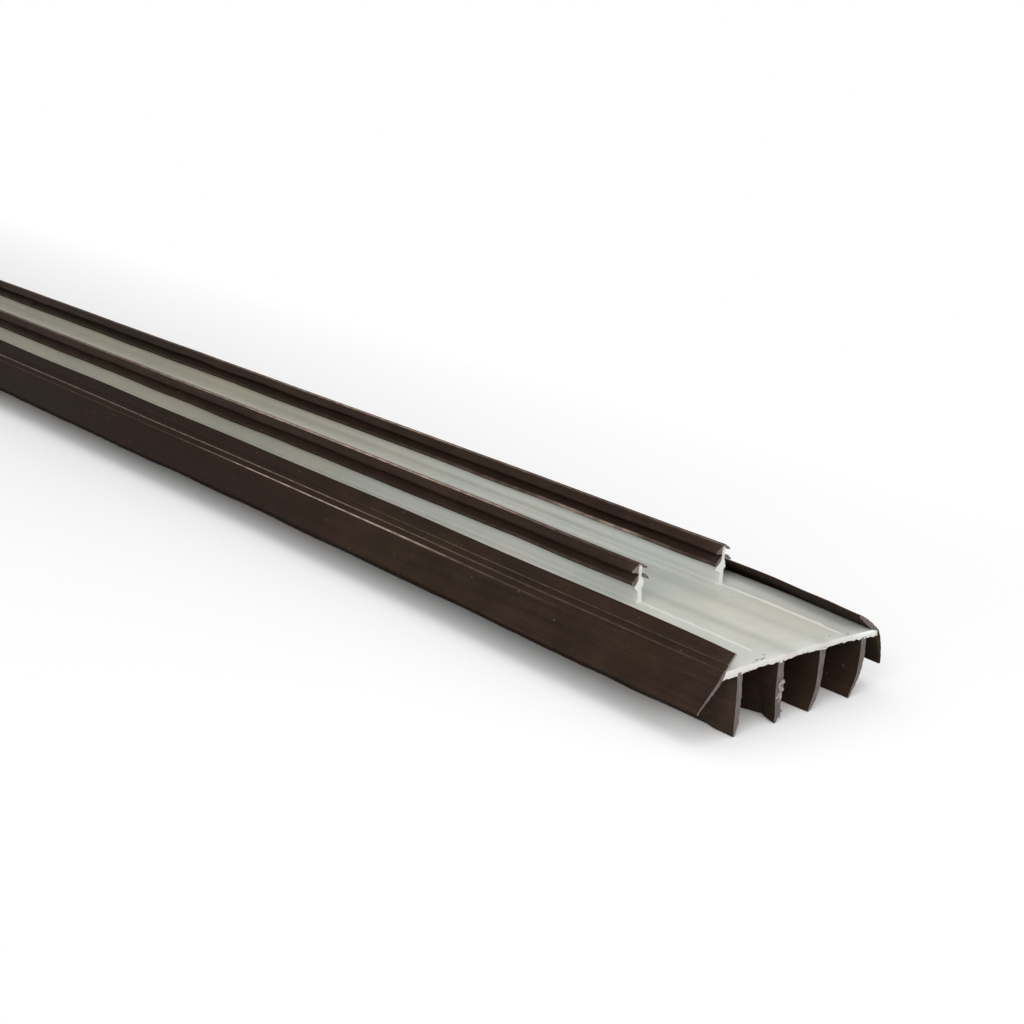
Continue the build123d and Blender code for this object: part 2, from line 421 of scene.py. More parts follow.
def carry(form, outline, low, high, warp, burr, tone=None, cut=1):
    """Carry a closed outline along the strip into a bmesh, with a ragged cut face at each end.

    warp moves a point, tone gives how much paler or darker the vinyl is painted there, from -1 to 1,
    which holds painted light and shade as well as real marks, and burr is how far the cut edge may
    stand out. The cut faces take the material with the number cut.
    """
    tone_layer = form.verts.layers.float.get("tone") or form.verts.layers.float.new("tone")
    outward = outward_from(outline)
    rings = []
    for x in stations(low, high):
        depth = min(x - low, high - x)
        ring = []
        for flat, direction in zip(outline, outward):
            point = Vector((x, *flat))
            paler = tone(point) if tone else 0.0
            point = warp(point)
            if depth < CUT_REACH:
                loose = noise.noise(Vector((x / half_length, *flat)) * CUT_GRAIN)
                stand_out = burr * (loose + CUT_LIFT) * exp(-depth / CUT_FADE)
                point += Vector((0, *direction)) * stand_out
                point.x += CUT_ROUGHNESS * loose * exp(-depth / CUT_FADE)
            vertex = form.verts.new(settle(point) * MM)
            vertex[tone_layer] = paler
            ring.append(vertex)
        rings.append(ring)
    count = len(outline)
    for ring, following in pairwise(rings):
        for place in range(count):
            beside = (place + 1) % count
            form.faces.new((ring[place], ring[beside], following[beside], following[place]))
    ends = [form.faces.new(ring) for ring in (rings[0], rings[-1])]
    for face in ends:
        face.normal_update()
        face.material_index = cut
    bmesh.ops.triangulate(form, faces=ends)


def carry_drawn(form, name, outline, reach, warp, tone=None):
    """Draw an outline as DRAWN says and carry it to an equal reach on both sides of the middle."""
    radius, spacing, burr = DRAWN[name]
    carry(form, filled(rounded(outline, radius), spacing), -reach, reach, warp, burr, tone)


def hair(form, root, direction, reach, thickness, droop, material):
    """A loose hair of vinyl at a cut: a thin three-sided spike that droops from its root."""
    across = direction.orthogonal().normalized()
    beside = direction.cross(across).normalized()
    rings = []
    for share in (0, 0.5):
        centre = root + direction * reach * share + Vector((0, 0, -droop * share * share))
        radius = thickness * (1 - share) / 2
        ring = []
        for side in range(3):
            angle = 2 * pi * side / 3
            offset = (across * cos(angle) + beside * sin(angle)) * radius
            ring.append(form.verts.new(settle(centre + offset) * MM))
        rings.append(ring)
    tip = form.verts.new(settle(root + direction * reach + Vector((0, 0, -droop))) * MM)
    low, high = rings
    faces = [form.faces.new(low)]
    for side in range(3):
        after = (side + 1) % 3
        faces.append(form.faces.new((low[side], low[after], high[after], high[side])))
        faces.append(form.faces.new((high[side], high[after], tip)))
    for face in faces:
        face.material_index = material


# How far a crumb's lumps stand out, as a share of its size, and how close together they are
LUMP_HEIGHT = 0.7
LUMP_SCALE = 1.6


def crumb(form, centre, size, chance, material):
    """A small irregular lump of vinyl."""
    made = bmesh.ops.create_icosphere(form, subdivisions=2, radius=1.0)
    seed = Vector((chance.random(), chance.random(), chance.random())) * SEED_STEP
    for vertex in made["verts"]:
        bulge = 1 + LUMP_HEIGHT * noise.noise(vertex.co * LUMP_SCALE + seed)
        shaped = Vector((vertex.co.x * size.x, vertex.co.y * size.y, vertex.co.z * size.z))
        vertex.co = settle(centre + shaped * bulge) * MM
    for face in {face for vertex in made["verts"] for face in vertex.link_faces}:
        face.material_index = material


def add_piece(name, form, materials, nodes):
    """Turn a bmesh into a piece of the object that stands for nodes of the frame."""
    bmesh.ops.recalc_face_normals(form, faces=form.faces)
    mesh = bpy.data.meshes.new(name)
    form.to_mesh(mesh)
    form.free()
    for polygon in mesh.polygons:
        polygon.use_smooth = True
    mesh.set_sharp_from_angle(angle=SHARP_EDGE)
    for material in materials:
        mesh.materials.append(material)
    piece = bpy.data.objects.new(name, mesh)
    bpy.context.scene.collection.objects.link(piece)
    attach(piece, ROOT)
    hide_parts(*nodes)
    return piece


# Shader nodes

# The numbers of a Mix node's two colours
MIXED_COLOURS = (6, 7)


def feed(tree, node, inputs):
    """Link or set a node's inputs, by name or number."""
    for key, value in inputs.items():
        if isinstance(value, bpy.types.NodeSocket):
            tree.links.new(value, node.inputs[key])
        else:
            node.inputs[key].default_value = value


def put(tree, kind, inputs, **settings):
    """Add a node with its settings and its inputs."""
    added = tree.nodes.new(kind)
    for key, value in settings.items():
        setattr(added, key, value)
    feed(tree, added, inputs)
    return added


def calculate(tree, operation, *values):
    """A Math node's result."""
    return put(tree, "ShaderNodeMath", dict(enumerate(values)), operation=operation).outputs[0]


def weighed(tree, first, weight, second, other_weight):
    """The sum of two masks, each times its weight."""
    rest = calculate(tree, "MULTIPLY", second, other_weight)
    return calculate(tree, "MULTIPLY_ADD", first, weight, rest)


def spread(tree, value, low, high, to_low=0.0, to_high=1.0):
    """Stretch the range from low to high onto another one."""
    inputs = {"Value": value, "From Min": low, "From Max": high, "To Min": to_low, "To Max": to_high}
    return put(tree, "ShaderNodeMapRange", inputs).outputs["Result"]


def between(tree, mask, low, high):
    """Turn a mask into values that lie between two others."""
    return spread(tree, mask, 0.0, 1.0, low, high)


def tinted(tree, base, mask, tint, strength=1.0):
    """Mix a tint over a base where a mask is. Each colour is a socket or a linear colour."""
    if strength < 1.0:
        mask = calculate(tree, "MULTIPLY", mask, strength)
    inputs = {0: mask}
    for number, value in zip(MIXED_COLOURS, (base, tint)):
        inputs[number] = value if isinstance(value, bpy.types.NodeSocket) else (*value, 1)
    return put(tree, "ShaderNodeMix", inputs, data_type="RGBA").outputs[2]


def relief(tree, height, strength, depth):
    """The normals of a fine relief, so many millimetres deep."""
    inputs = {"Strength": strength, "Distance": depth * MM, "Height": height}
    return put(tree, "ShaderNodeBump", inputs).outputs["Normal"]


def built_once(library, name):
    """Have a function build a node group or a material once, and find it by its name after that."""

    def wrap(build):
        def find(*values):
            return getattr(bpy.data, library).get(name) or build(name, *values)

        return find

    return wrap


def new_group(name, **values):
    """An empty shader group that puts out a mask. Its inputs are vectors, or values with defaults."""
    group = bpy.data.node_groups.new(name, "ShaderNodeTree")
    for key, value in values.items():
        kind = "NodeSocketVector" if value is None else "NodeSocketFloat"
        socket = group.interface.new_socket(key, in_out="INPUT", socket_type=kind)
        if value is not None:
            socket.default_value = value
    group.interface.new_socket("Mask", in_out="OUTPUT", socket_type="NodeSocketFloat")
    return group, group.nodes.new("NodeGroupInput"), group.nodes.new("NodeGroupOutput")


def stretched_noise(group, source, along, steps, low, high):
    """Noise that is drawn out along one axis of the source, as a mask between low and high."""
    parts = put(group, "ShaderNodeSeparateXYZ", {0: source.outputs["Vector"]})
    inputs = {axis: parts.outputs[axis] for axis in range(3)}
    inputs[along] = calculate(group, "DIVIDE", parts.outputs[along], source.outputs["Stretch"])
    joined = put(group, "ShaderNodeCombineXYZ", inputs).outputs[0]
    inputs = {"Vector": joined, "Scale": source.outputs["Scale"], "Detail": steps, "Roughness": 0.6}
    made = put(group, "ShaderNodeTexNoise", inputs)
    return spread(group, made.outputs["Fac"], low, high)


@built_once("node_groups", "Die lines")
def die_lines(name):
    """Group: the fine lines along the strip that the die leaves."""
    group, source, result = new_group(name, Vector=None, Scale=1200.0, Stretch=80.0)
    feed(group, result, {"Mask": stretched_noise(group, source, 0, 3, 0.3, 0.7)})
    return group


@built_once("node_groups", "Cut marks")
def cut_marks(name):
    """Group: the marks that a blade leaves across a cut face."""
    group, source, result = new_group(name, Vector=None, Scale=2500.0, Stretch=6.0)
    feed(group, result, {"Mask": stretched_noise(group, source, 2, 2, 0.35, 0.65)})
    return group


@built_once("node_groups", "Mottle")
def mottle(name):
    """Group: soft patches at a given scale."""
    group, source, result = new_group(name, Vector=None, Scale=60.0)
    inputs = {"Vector": source.outputs["Vector"], "Scale": source.outputs["Scale"], "Detail": 3.0}
    made = put(group, "ShaderNodeTexNoise", inputs)
    feed(group, result, {"Mask": spread(group, made.outputs["Fac"], 0.35, 0.65)})
    return group


@built_once("node_groups", "Specks")
def specks(name):
    """Group: scattered specks, each a small round spot, in the given share of the cells."""
    group, source, result = new_group(name, Vector=None, Scale=700.0, Share=0.1, Size=0.3)
    inputs = {"Vector": source.outputs["Vector"], "Scale": source.outputs["Scale"]}
    cells = put(group, "ShaderNodeTexVoronoi", inputs)
    chance = put(group, "ShaderNodeSeparateColor", {0: cells.outputs["Color"]}).outputs[0]
    chosen = calculate(group, "LESS_THAN", chance, source.outputs["Share"])
    edge = calculate(group, "DIVIDE", cells.outputs["Distance"], source.outputs["Size"])
    spot = spread(group, edge, 1.0, 0.5)
    feed(group, result, {"Mask": calculate(group, "MULTIPLY", chosen, spot)})
    return group


@built_once("node_groups", "Tone")
def mesh_tone(name):
    """Group: how much paler, or with a sign of -1 how much darker, the mesh paints the vinyl, painted light
    and shade included.
    """
    group, source, result = new_group(name, Sign=1.0)
    carried = put(group, "ShaderNodeAttribute", {}, attribute_name="tone").outputs["Fac"]
    signed = calculate(group, "MULTIPLY", carried, source.outputs["Sign"])
    feed(group, result, {"Mask": calculate(group, "MAXIMUM", signed, 0.0)})
    return group


def use(tree, group, **values):
    """Place a group in a material and give its mask. Values are its inputs by name."""
    return put(tree, "ShaderNodeGroup", values, node_tree=group).outputs["Mask"]


def new_material(name):
    """An empty material, its node tree, its Principled shader and the object's coordinates."""
    material = bpy.data.materials.new(name)
    material.use_nodes = True
    tree = material.node_tree
    shader = tree.nodes["Principled BSDF"]
    place = tree.nodes.new("ShaderNodeTexCoord").outputs["Object"]
    return material, tree, shader, place


# Between which distances from the strip's middle, in metres, the rigid vinyl grows yellower, and how
# yellow it grows
YELLOWING_STRETCH = (0.335, 0.26)
YELLOWING_MOST = 0.2


@built_once("materials", "Rigid vinyl skin")
def rigid_vinyl(name, look):
    """Off-white rigid vinyl: faint lines along it, warmer and cooler patches, grey sink bands, a yellow tint
    away from the near end, and painted light and shade from the mesh's tone.
    """
    material, tree, shader, place = new_material(name)
    lines = use(tree, die_lines(), Vector=place, Scale=700.0, Stretch=60.0)
    patches = use(tree, mottle(), Vector=place, Scale=45.0)
    clouds = use(tree, mottle(), Vector=place, Scale=260.0)
    dirt = use(tree, specks(), Vector=place, Scale=420.0, Share=0.02, Size=0.16)
    base = tinted(tree, look.rigid, patches, look.rigid_cool, strength=0.8)
    base = tinted(tree, base, weighed(tree, lines, 0.10, clouds, 0.12), look.grey_band_and_shade)
    broken = between(tree, use(tree, mottle(), Vector=place, Scale=30.0), 0.35, 0.9)
    # The mesh's darker tone: sink lines, and painted shade in the channels and by a leg's foot
    sunk = calculate(tree, "MULTIPLY", use(tree, mesh_tone(), Sign=-1.0), broken)
    base = tinted(tree, base, sunk, look.grey_band_and_shade)
    # Painted light from the mesh's paler tone
    base = tinted(tree, base, use(tree, mesh_tone(), Sign=1.0), look.rigid_painted_light)
    along = put(tree, "ShaderNodeSeparateXYZ", {0: place}).outputs[0]
    yellowing = spread(tree, calculate(tree, "ABSOLUTE", along), *YELLOWING_STRETCH, 0.0, YELLOWING_MOST)
    base = tinted(tree, base, yellowing, look.rigid_yellowing)
    inputs = {
        "Base Color": tinted(tree, base, dirt, look.fleck, strength=0.6),
        "Roughness": between(tree, clouds, 0.38, 0.55),
        "Specular IOR Level": 0.4,
        "Normal": relief(tree, weighed(tree, lines, 0.5, clouds, 0.5), strength=0.5, depth=0.03),
    }
    feed(tree, shader, inputs)
    return material


@built_once("materials", "Rigid vinyl cut")
def rigid_cut(name, look):
    """Cut face of the rigid vinyl, brighter and rougher than its skin, with painted light from the mesh's
    tone.
    """
    material, tree, shader, place = new_material(name)
    marks = use(tree, cut_marks(), Vector=place, Scale=2200.0, Stretch=5.0)
    base = tinted(tree, look.rigid_cut, marks, look.rigid, strength=0.35)
    inputs = {
        # Painted light on the cut faces from the mesh's tone, strongest low on a leg's cut face
        "Base Color": tinted(tree, base, use(tree, mesh_tone(), Sign=1.0), look.rigid_painted_light),
        "Roughness": 0.75,
        "Normal": relief(tree, marks, strength=0.6, depth=0.05),
    }
    feed(tree, shader, inputs)
    return material


@built_once("materials", "Soft vinyl skin")
def soft_vinyl(name, look):
    """Dark brown soft vinyl: fine grain, darker streaks along it, specks, painted highlights broken into
    glints on worn edges, and painted shade from the mesh's tone.
    """
    material, tree, shader, place = new_material(name)
    lines = use(tree, die_lines(), Vector=place, Scale=900.0, Stretch=45.0)
    patches = use(tree, mottle(), Vector=place, Scale=120.0)
    grain = use(tree, mottle(), Vector=place, Scale=2400.0)
    stains = use(tree, mottle(), Vector=place, Scale=75.0)
    glints = use(tree, mottle(), Vector=place, Scale=420.0)
    dust = use(tree, specks(), Vector=place, Scale=650.0, Share=0.05, Size=0.2)
    uneven = calculate(tree, "MULTIPLY_ADD", grain, 0.25, weighed(tree, lines, 0.45, patches, 0.35))
    base = tinted(tree, look.soft, stains, look.soft_olive)
    base = tinted(tree, base, uneven, look.soft_deep_and_shade)
    # Painted shade from the mesh's darker tone
    base = tinted(tree, base, use(tree, mesh_tone(), Sign=-1.0), look.soft_deep_and_shade)
    base = tinted(tree, base, dust, look.dust, strength=0.15)
    # Painted highlights on worn edges, painted light on one fin and real scuffs by the cuts, from the mesh's
    # paler tone, broken into glints
    worn_and_highlit = calculate(tree, "MULTIPLY", use(tree, mesh_tone(), Sign=1.0), between(tree, glints, 0.45, 1.0))
    inputs = {
        "Base Color": tinted(tree, base, worn_and_highlit, look.crest),
        "Roughness": between(tree, grain, 0.42, 0.62),
        "Specular IOR Level": 0.02,
        "Normal": relief(tree, weighed(tree, grain, 0.6, lines, 0.4), strength=0.5, depth=0.03),
    }
    feed(tree, shader, inputs)
    return material


@built_once("materials", "Soft vinyl cut")
def soft_cut(name, look):
    """Cut face of the soft vinyl, paler than its skin."""
    material, tree, shader, place = new_material(name)
    marks = use(tree, cut_marks(), Vector=place, Scale=1800.0, Stretch=4.0)
    base = tinted(tree, look.soft_cut, marks, look.soft, strength=0.5)
    inputs = {
        # The mesh's paler tone: the pale back of the lip at the cut, and painted light on the front cap's cut
        # face
        "Base Color": tinted(tree, base, use(tree, mesh_tone(), Sign=1.0), look.soft_pale_and_lit),
        "Roughness": 0.8,
        "Specular IOR Level": 0.2,
        "Normal": relief(tree, marks, strength=0.7, depth=0.06),
    }
    feed(tree, shader, inputs)
    return material


# The linear colour of the grain in crumbs and shavings
CRUMB_GRAIN = (0.08, 0.06, 0.05)


def crumb_vinyl(name, shade):
    """Vinyl of one colour with fine grain, for crumbs and shavings."""
    material, tree, shader, place = new_material(name)
    grain = use(tree, mottle(), Vector=place, Scale=1500.0)
    base = tinted(tree, shade, grain, CRUMB_GRAIN, strength=0.3)
    feed(tree, shader, {"Base Color": base, "Roughness": 0.7})
    return material


@built_once("materials", "Torn vinyl")
def torn_vinyl(name, look):
    """Soft vinyl that the blade tore."""
    return crumb_vinyl(name, look.torn)


@built_once("materials", "Shaving")
def shaving_vinyl(name, look):
    """Brown vinyl of the shavings."""
    return crumb_vinyl(name, look.fleck)


# Rigid strip

KERF_LEGS = ("front_leg", "rear_leg")

# Sink lines in the plate's top, as (place across the strip, half width, how dark)
SINK_LINES = ((-1.9, 1.7, 0.65), (7.6, 1.6, 0.5))

# Below 1, the hollows between the fins are flat in their middle
HOLLOW_SHAPE = 0.6

# How much paler or darker the plate's top is painted in its two channels, as (distance from the end,
# tone), each with its share across the strip, and how pale the plate is by the rear lip. This is painted
# light where the legs and the lip shade the plate, and painted shade farther along the front channel
# and in a line in the middle channel
FRONT_CHANNEL = [(28, 0.0), (40, 0.2), (53, 0.3), (79, 0.15), (107, 0.1), (148, -0.35)]
FRONT_CHANNEL_ACROSS = [(-9, 1), (-6, 0)]
MIDDLE_CHANNEL = [(20, 0.0), (35, 0.2), (50, 0.4), (77, 0.45), (107, 0.4), (138, 0.3), (182, 0.3), (232, 0.1)]
MIDDLE_CHANNEL_ACROSS = [(6, 0), (9.8, -0.7), (10.6, -0.5), (12, 1), (14, 1), (16, 0)]
PALE_BY_LIP = [(-9, 0), (-3.5, 0.8)]

# How pale the plate is painted at its cut ends, as a painted highlight on the cut edge, and how far along
# this fades, and how far the burr of the saw reaches along it
PALE_END = 0.42
PALE_END_REACH = 2.0
SAW_BURR_REACH = 0.35

# How much paler a kerf leg is painted, as painted light on its web, and how much darker the line by its
# foot, as painted shade in the crease, as (distance from the end, tone), then the height and half width
# of that line
LEG_TONES = {
    "front_leg": (
        [(33, 0.35), (56, 0.55), (82, 0.48), (111, 0.4), (151, -0.05)],
        [(33, 0.15), (56, 0.28), (82, 0.2), (111, 0.15)],
    ),
    "rear_leg": (
        [(33, 0.6), (56, 0.75), (82, 0.72), (110, 0.65), (141, 0.45), (186, 0.22), (236, 0.0)],
        [(33, 0.35), (56, 0.45), (82, 0.75), (110, 0.7), (141, 0.75), (186, 0.9)],
    ),
}
FOOT_SHADE_HEIGHT = 0.75
FOOT_SHADE_WIDTH = 0.55

# How pale a kerf leg is painted at its cut ends, as (height above the plate, tone), and how far along it
# fades. This is painted light, less on the neck, which is painted as in shade
LEG_END_LIGHT = [(4.5, 0.8), (6, 0.35)]
LEG_END_LIGHT_REACH = 1.2

# A kerf leg's shoulders stand out only at its cut ends: how much of them goes, and how fast
SHOULDER_LOSS = 0.9
SHOULDER_REACH = 0.8

# Each stub's crest, as (how pale, how far it drifts forward at the strip's end), and its half width. The
# paleness is a painted highlight along the crest
STUBS = {"front_leg": (0.6, 0.0), "rear_leg": (0.4, 0.6)}
STUB_CREST = 0.4
STUB_DRIFT_REACH = 25

# The share of a stub's height that wear has left, the share of this at its tip, and how far along it
# comes up to the whole
STUB_WORN = 0.8
STUB_TIP = 0.3
STUB_RAMP = 4

# The loose hairs at each of the plate's cut ends: how many, the share that is of soft vinyl, and the
# ranges of their heights on the edge, reaches and thicknesses
END_HAIRS = 44
SOFT_HAIRS = 0.3
HAIR_SEED = 11
HAIR_HEIGHTS = (0.2, 0.5)
HAIR_REACHES = (0.1, 0.4)
HAIR_THICKNESSES = (0.1, 0.25)
HAIR_DROOP = 0.05


def leg_place(leg, barbs):
    """Middle of a kerf leg across the strip."""
    return corners(f"{leg}_cap")[0].y + barbs.cap_front_reach


def fin_place(fin, sizes):
    """Middle of a fin's root across the strip."""
    return corners(fin)[1].y - sizes.root_thickness / 2


def sunk_at(across):
    """How deep the plate's top is sunk at a place across the strip, from 0 to 1."""
    return sum(dark * exp(-((across - place) / width) ** 2) for place, width, dark in SINK_LINES)


def panel_point(along, out, lean):
    """A point by the front panel: up along it from the plate's lower corner, and out."""
    across = front_face + along * sin(lean) - out * cos(lean)
    up = plate_under + along * cos(lean) + out * sin(lean)
    return Vector((across, up))


def panel_at_height(height, out, lean):
    """The point at this height above the plate's underside, so far out of the panel."""
    return panel_point((height - out * sin(lean)) / cos(lean), out, lean)


def samples(start, end):
    """Places from start to end, as far apart as the plate's points."""
    count = round(abs(end - start) / POINT_SPACING)
    return [start + (end - start) * step / count for step in range(count + 1)]


def plate_outline(sizes, lean, rear_skin, lip_root, fins):
    """Outline of the plate, hollowed below between the fins and with sink lines in its top."""
    top = top_of(sizes)
    rear = strip_high.y
    below = []
    for across in samples(front_face, rear):
        up = plate_under
        for start, end in pairwise(fins):
            share = (across - start) / (end - start)
            if 0 < share < 1:
                up += sizes.hollow_rise * sin(pi * share) ** HOLLOW_SHAPE
        below.append(Vector((across, up)))
    top_front = panel_at_height(sizes.plate_thickness, 0, lean).x
    top_rear = rear + rear_skin - lip_root
    above = [
        Vector((across, top - sizes.sink_depth * sunk_at(across))) for across in samples(top_rear, top_front)
    ]
    return below + [Vector((rear, top - sizes.edge_bevel))] + above


# How far outside its web the curve of a leg's foot passes, and at what share of the foot's height
FOOT_CURVE = 0.12
FOOT_CURVE_HEIGHT = 0.45

# The two sides of each kerf leg's shoulder as (distance from the leg's middle, height above the plate)
SHOULDERS = {
    "front_leg": (
        ((0.55, 2.5), (1.5, 3.4), (1.15, 3.95), (0.52, 4.75)),
        ((0.5, 2.95), (0.92, 3.6), (0.92, 4.4), (0.5, 5.3)),
    ),
    "rear_leg": (
        ((0.55, 2.5), (2.15, 3.3), (1.7, 3.85), (0.46, 5.05)),
        ((0.45, 2.95), (0.92, 3.6), (0.8, 4.3), (0.46, 5.2)),
    ),
}
# How far the top of each kerf leg leans to the rear, as (distance from the strip's end, lean)
LEANS = {"front_leg": [(33, -0.45), (75, 0.0)], "rear_leg": [(33, 0.15), (75, 0.0)]}


def leg_outline(sizes, leg, place, crown_top):
    """Outline of a kerf leg, from its foot on the plate to the crown under its cap."""
    top = top_of(sizes)
    shoulder = crown_top - sizes.crown_depth - top
    outline = [Vector((place, crown_top))]
    for side, sloped in zip((-1, 1), SHOULDERS[leg]):
        half = [
            (sizes.foot_width / 2, -SINK),
            (sizes.foot_width / 2, 0),
            (sizes.web_width / 2 + FOOT_CURVE, sizes.foot_height * FOOT_CURVE_HEIGHT),
            (sizes.web_width / 2, sizes.foot_height),
            *sloped,
            (sizes.neck_width / 2, sizes.neck_height),
            (sizes.crown_width / 2, shoulder),
            (sizes.crown_width / 4, shoulder + sizes.crown_depth * 0.75),
        ]
        points = [Vector((place + side * out, top + up)) for out, up in half]
        outline = outline + points[::-1] if side < 0 else points + outline
    return outline


def sway(point, leg, top):
    """How far a point of a kerf leg stands to the rear, where the leg wanders and leans."""
    share = max(0.0, point.z - top) / (leg_top - top)
    wander = wave(point.x, "leg", KERF_LEGS.index(leg))
    return (wander + keyed(LEANS[leg], depth_of(point))) * share


def stub_outline(sizes, place):
    """Outline of the low stub that is left where a kerf leg was trimmed away."""
    top = top_of(sizes)
    half = sizes.stub_width / 2
    left, right = Vector((place - half, top)), Vector((place + half, top))
    ridge = arc(left, Vector((place, top + sizes.stub_height)), right, STUB_STEPS)
    return ridge + [right, Vector((right.x, top - SINK)), Vector((left.x, top - SINK))]


def add_plate(form, scene, fins):
    """Add the plate, with the burr that the saw dragged down at its ends."""
    sizes, rear = in_mm(scene.sweep_strip), in_mm(scene.sweep_rear)
    top = top_of(sizes)

    def toned(point):
        if point.z < top - 2 * sizes.sink_depth:
            return 0.0
        depth = depth_of(point)
        sunk = sunk_at(point.y)
        # Painted light and shade in the channels and by the rear lip, and a painted highlight at the cut ends
        paler = keyed(FRONT_CHANNEL, depth) * keyed(FRONT_CHANNEL_ACROSS, point.y)
        paler += keyed(MIDDLE_CHANNEL, depth) * keyed(MIDDLE_CHANNEL_ACROSS, point.y)
        paler += keyed(PALE_BY_LIP, point.y - strip_high.y)
        return PALE_END * exp(-depth / PALE_END_REACH) + paler * (1 - sunk) - sunk

    def dragged(point):
        depth = depth_of(point)
        if point.z < top - sizes.plate_thickness / 2 and depth < CUT_REACH:
            loose = 1 + wave(point.y, "saw burr")
            point.z -= sizes.burr_drop * loose * exp(-depth / SAW_BURR_REACH)
        return point

    outline = plate_outline(sizes, scene.sweep_front.lean, rear.skin, rear.lip_root, fins)
    carry(form, outline, -half_length, half_length, dragged, PLATE_BURR, toned)


def add_kerf_leg(form, scene, leg):
    """Add one kerf leg and the two stubs that are left where it was trimmed back."""
    sizes, barbs = in_mm(scene.sweep_strip), in_mm(scene.sweep_barbs)
    top = top_of(sizes)
    place = leg_place(leg, barbs)
    number = KERF_LEGS.index(leg)
    gap = (sizes.front_stub_gap, sizes.rear_stub_gap)[number]
    pale_keys, line_keys = LEG_TONES[leg]
    crest_tone, drift = STUBS[leg]

    def trimmed(point):
        out = point.y - place
        spare = abs(out) - sizes.web_width / 2
        if spare > 0 and point.z > top + sizes.foot_height:
            away = 1 - exp(-(leg_end - abs(point.x)) / SHOULDER_REACH)
            point.y -= copysign(SHOULDER_LOSS * spare * away, out)
        point.y += sway(point, leg, top)
        return point

    # Painted light on the leg's web, painted shade in a line by its foot, and painted light and shade on its
    # cut face
    def leg_tone(point):
        up = point.z - top
        line = keyed(line_keys, depth_of(point))
        paler = keyed(pale_keys, depth_of(point))
        paler -= line * exp(-((up - FOOT_SHADE_HEIGHT) / FOOT_SHADE_WIDTH) ** 2)
        near_cut = exp(-(leg_end - abs(point.x)) / LEG_END_LIGHT_REACH)
        return paler + near_cut * (keyed(LEG_END_LIGHT, up) - paler)

    def worn_stub(point):
        low = wave(point.x, "stub height", number) + wave(point.x, "stub nicks", number)
        fade = keyed([(gap, STUB_TIP), (gap + STUB_RAMP, 1.0)], depth_of(point))
        if point.z > top:
            point.z = top + (point.z - top) * (STUB_WORN + low) * fade
        point.y += wave(point.x, "stub drift", number)
        point.y -= keyed([(0, drift), (STUB_DRIFT_REACH, 0.0)], depth_of(point))
        return point

    # Painted highlight along the stub's crest
    def stub_tone(point):
        out = (point.y - place) / STUB_CREST
        return crest_tone * exp(-out * out) if point.z > top else 0.0

    outline = leg_outline(sizes, leg, place, leg_top - barbs.cap_skin)
    carry_drawn(form, "kerf leg", outline, leg_end, trimmed, leg_tone)
    stub_tip = half_length - gap
    for low, high in ((-stub_tip, -leg_end + SINK), (leg_end - SINK, stub_tip)):
        carry(form, stub_outline(sizes, place), low, high, worn_stub, STUB_BURR, stub_tone, cut=0)


def add_end_hairs(form):
    """Loose hairs along the lower edge of the plate's cut ends, most of them white."""
    chance = Random(HAIR_SEED)
    for end in (-1, 1):
        for _ in range(END_HAIRS):
            across = chance.uniform(front_face + 1, strip_high.y - 1)
            up = plate_under + chance.uniform(*HAIR_HEIGHTS)
            root = Vector((end * (half_length - OVERLAP), across, up))
            aside = chance.uniform(-1.2, 1.2)
            direction = Vector((end * chance.uniform(0.1, 0.8), aside, -1)).normalized()
            reach = chance.uniform(*HAIR_REACHES)
            material = 2 if chance.random() < SOFT_HAIRS else 1
            hair(form, root, direction, reach, chance.uniform(*HAIR_THICKNESSES), HAIR_DROOP, material)


def build_rigid_strip(scene):
    """Build the plate, its two kerf legs and the stubs of the trimmed legs."""
    fin_sizes, look = in_mm(scene.sweep_fins), scene.sweep_finish
    form = bmesh.new()
    add_plate(form, scene, [fin_place(fin, fin_sizes) for fin in FINS])
    for leg in KERF_LEGS:
        add_kerf_leg(form, scene, leg)
    add_end_hairs(form)
    materials = [rigid_vinyl(look), rigid_cut(look), soft_cut(look)]
    return add_piece("rigid_strip", form, materials, ["base_strip"])


# Soft flaps

def add_soft_piece(form, node, look, *more):
    """Turn a bmesh into the soft piece that stands for a node, with its skin, its cut and more."""
    return add_piece(f"{node}_skin", form, [soft_vinyl(look), soft_cut(look), *more], [node])


# How a knife left the panel at the near end: how far its lip and its flap were drawn back, how far
# they slant along the strip, and how far along this fades
LIP_DRAWN_BACK, FLAP_DRAWN_BACK = 0.35, 0.25
LIP_SLANT, FLAP_SLANT = 0.2, 0.75
KNIFE_REACH = 7

# How far below the plate's lower corner the drip flap starts to waver
FLAP_START = 1

# The half width of the painted highlight on each of the panel's worn ridges, and how pale it is, as
# (distance from the end, how pale). Then how much painted shade darkens the rest of the panel away
# from the end, and how sharply this gives way to the highlights
RIB_HIGHLIGHT = (0.09, [(0, 0.1), (50, 0.15), (75, 0.2), (100, 0.12), (135, 0.0)])
BEAD_TOP_HIGHLIGHT = (0.09, [(0, 0.08), (50, 0.16), (90, 0.25), (130, 0.5)])
BEAD_FOOT_HIGHLIGHT = (0.1, [(35, 0.0), (65, 0.12), (105, 0.8), (150, 0.9), (170, 0.5), (190, 0.2)])
PANEL_PAINTED_SHADE = [(85, 0.0), (140, 0.55), (200, 0.75)]
SHADE_UNDER_HIGHLIGHT = 50

# How pale the back of the lip is right at the cut, how fast this fades, and how far under the groove
# a point lies that belongs to the back
LIP_CUT_TONE = 0.9
LIP_CUT_FADE = 0.08
BACK_MARGIN = 0.02


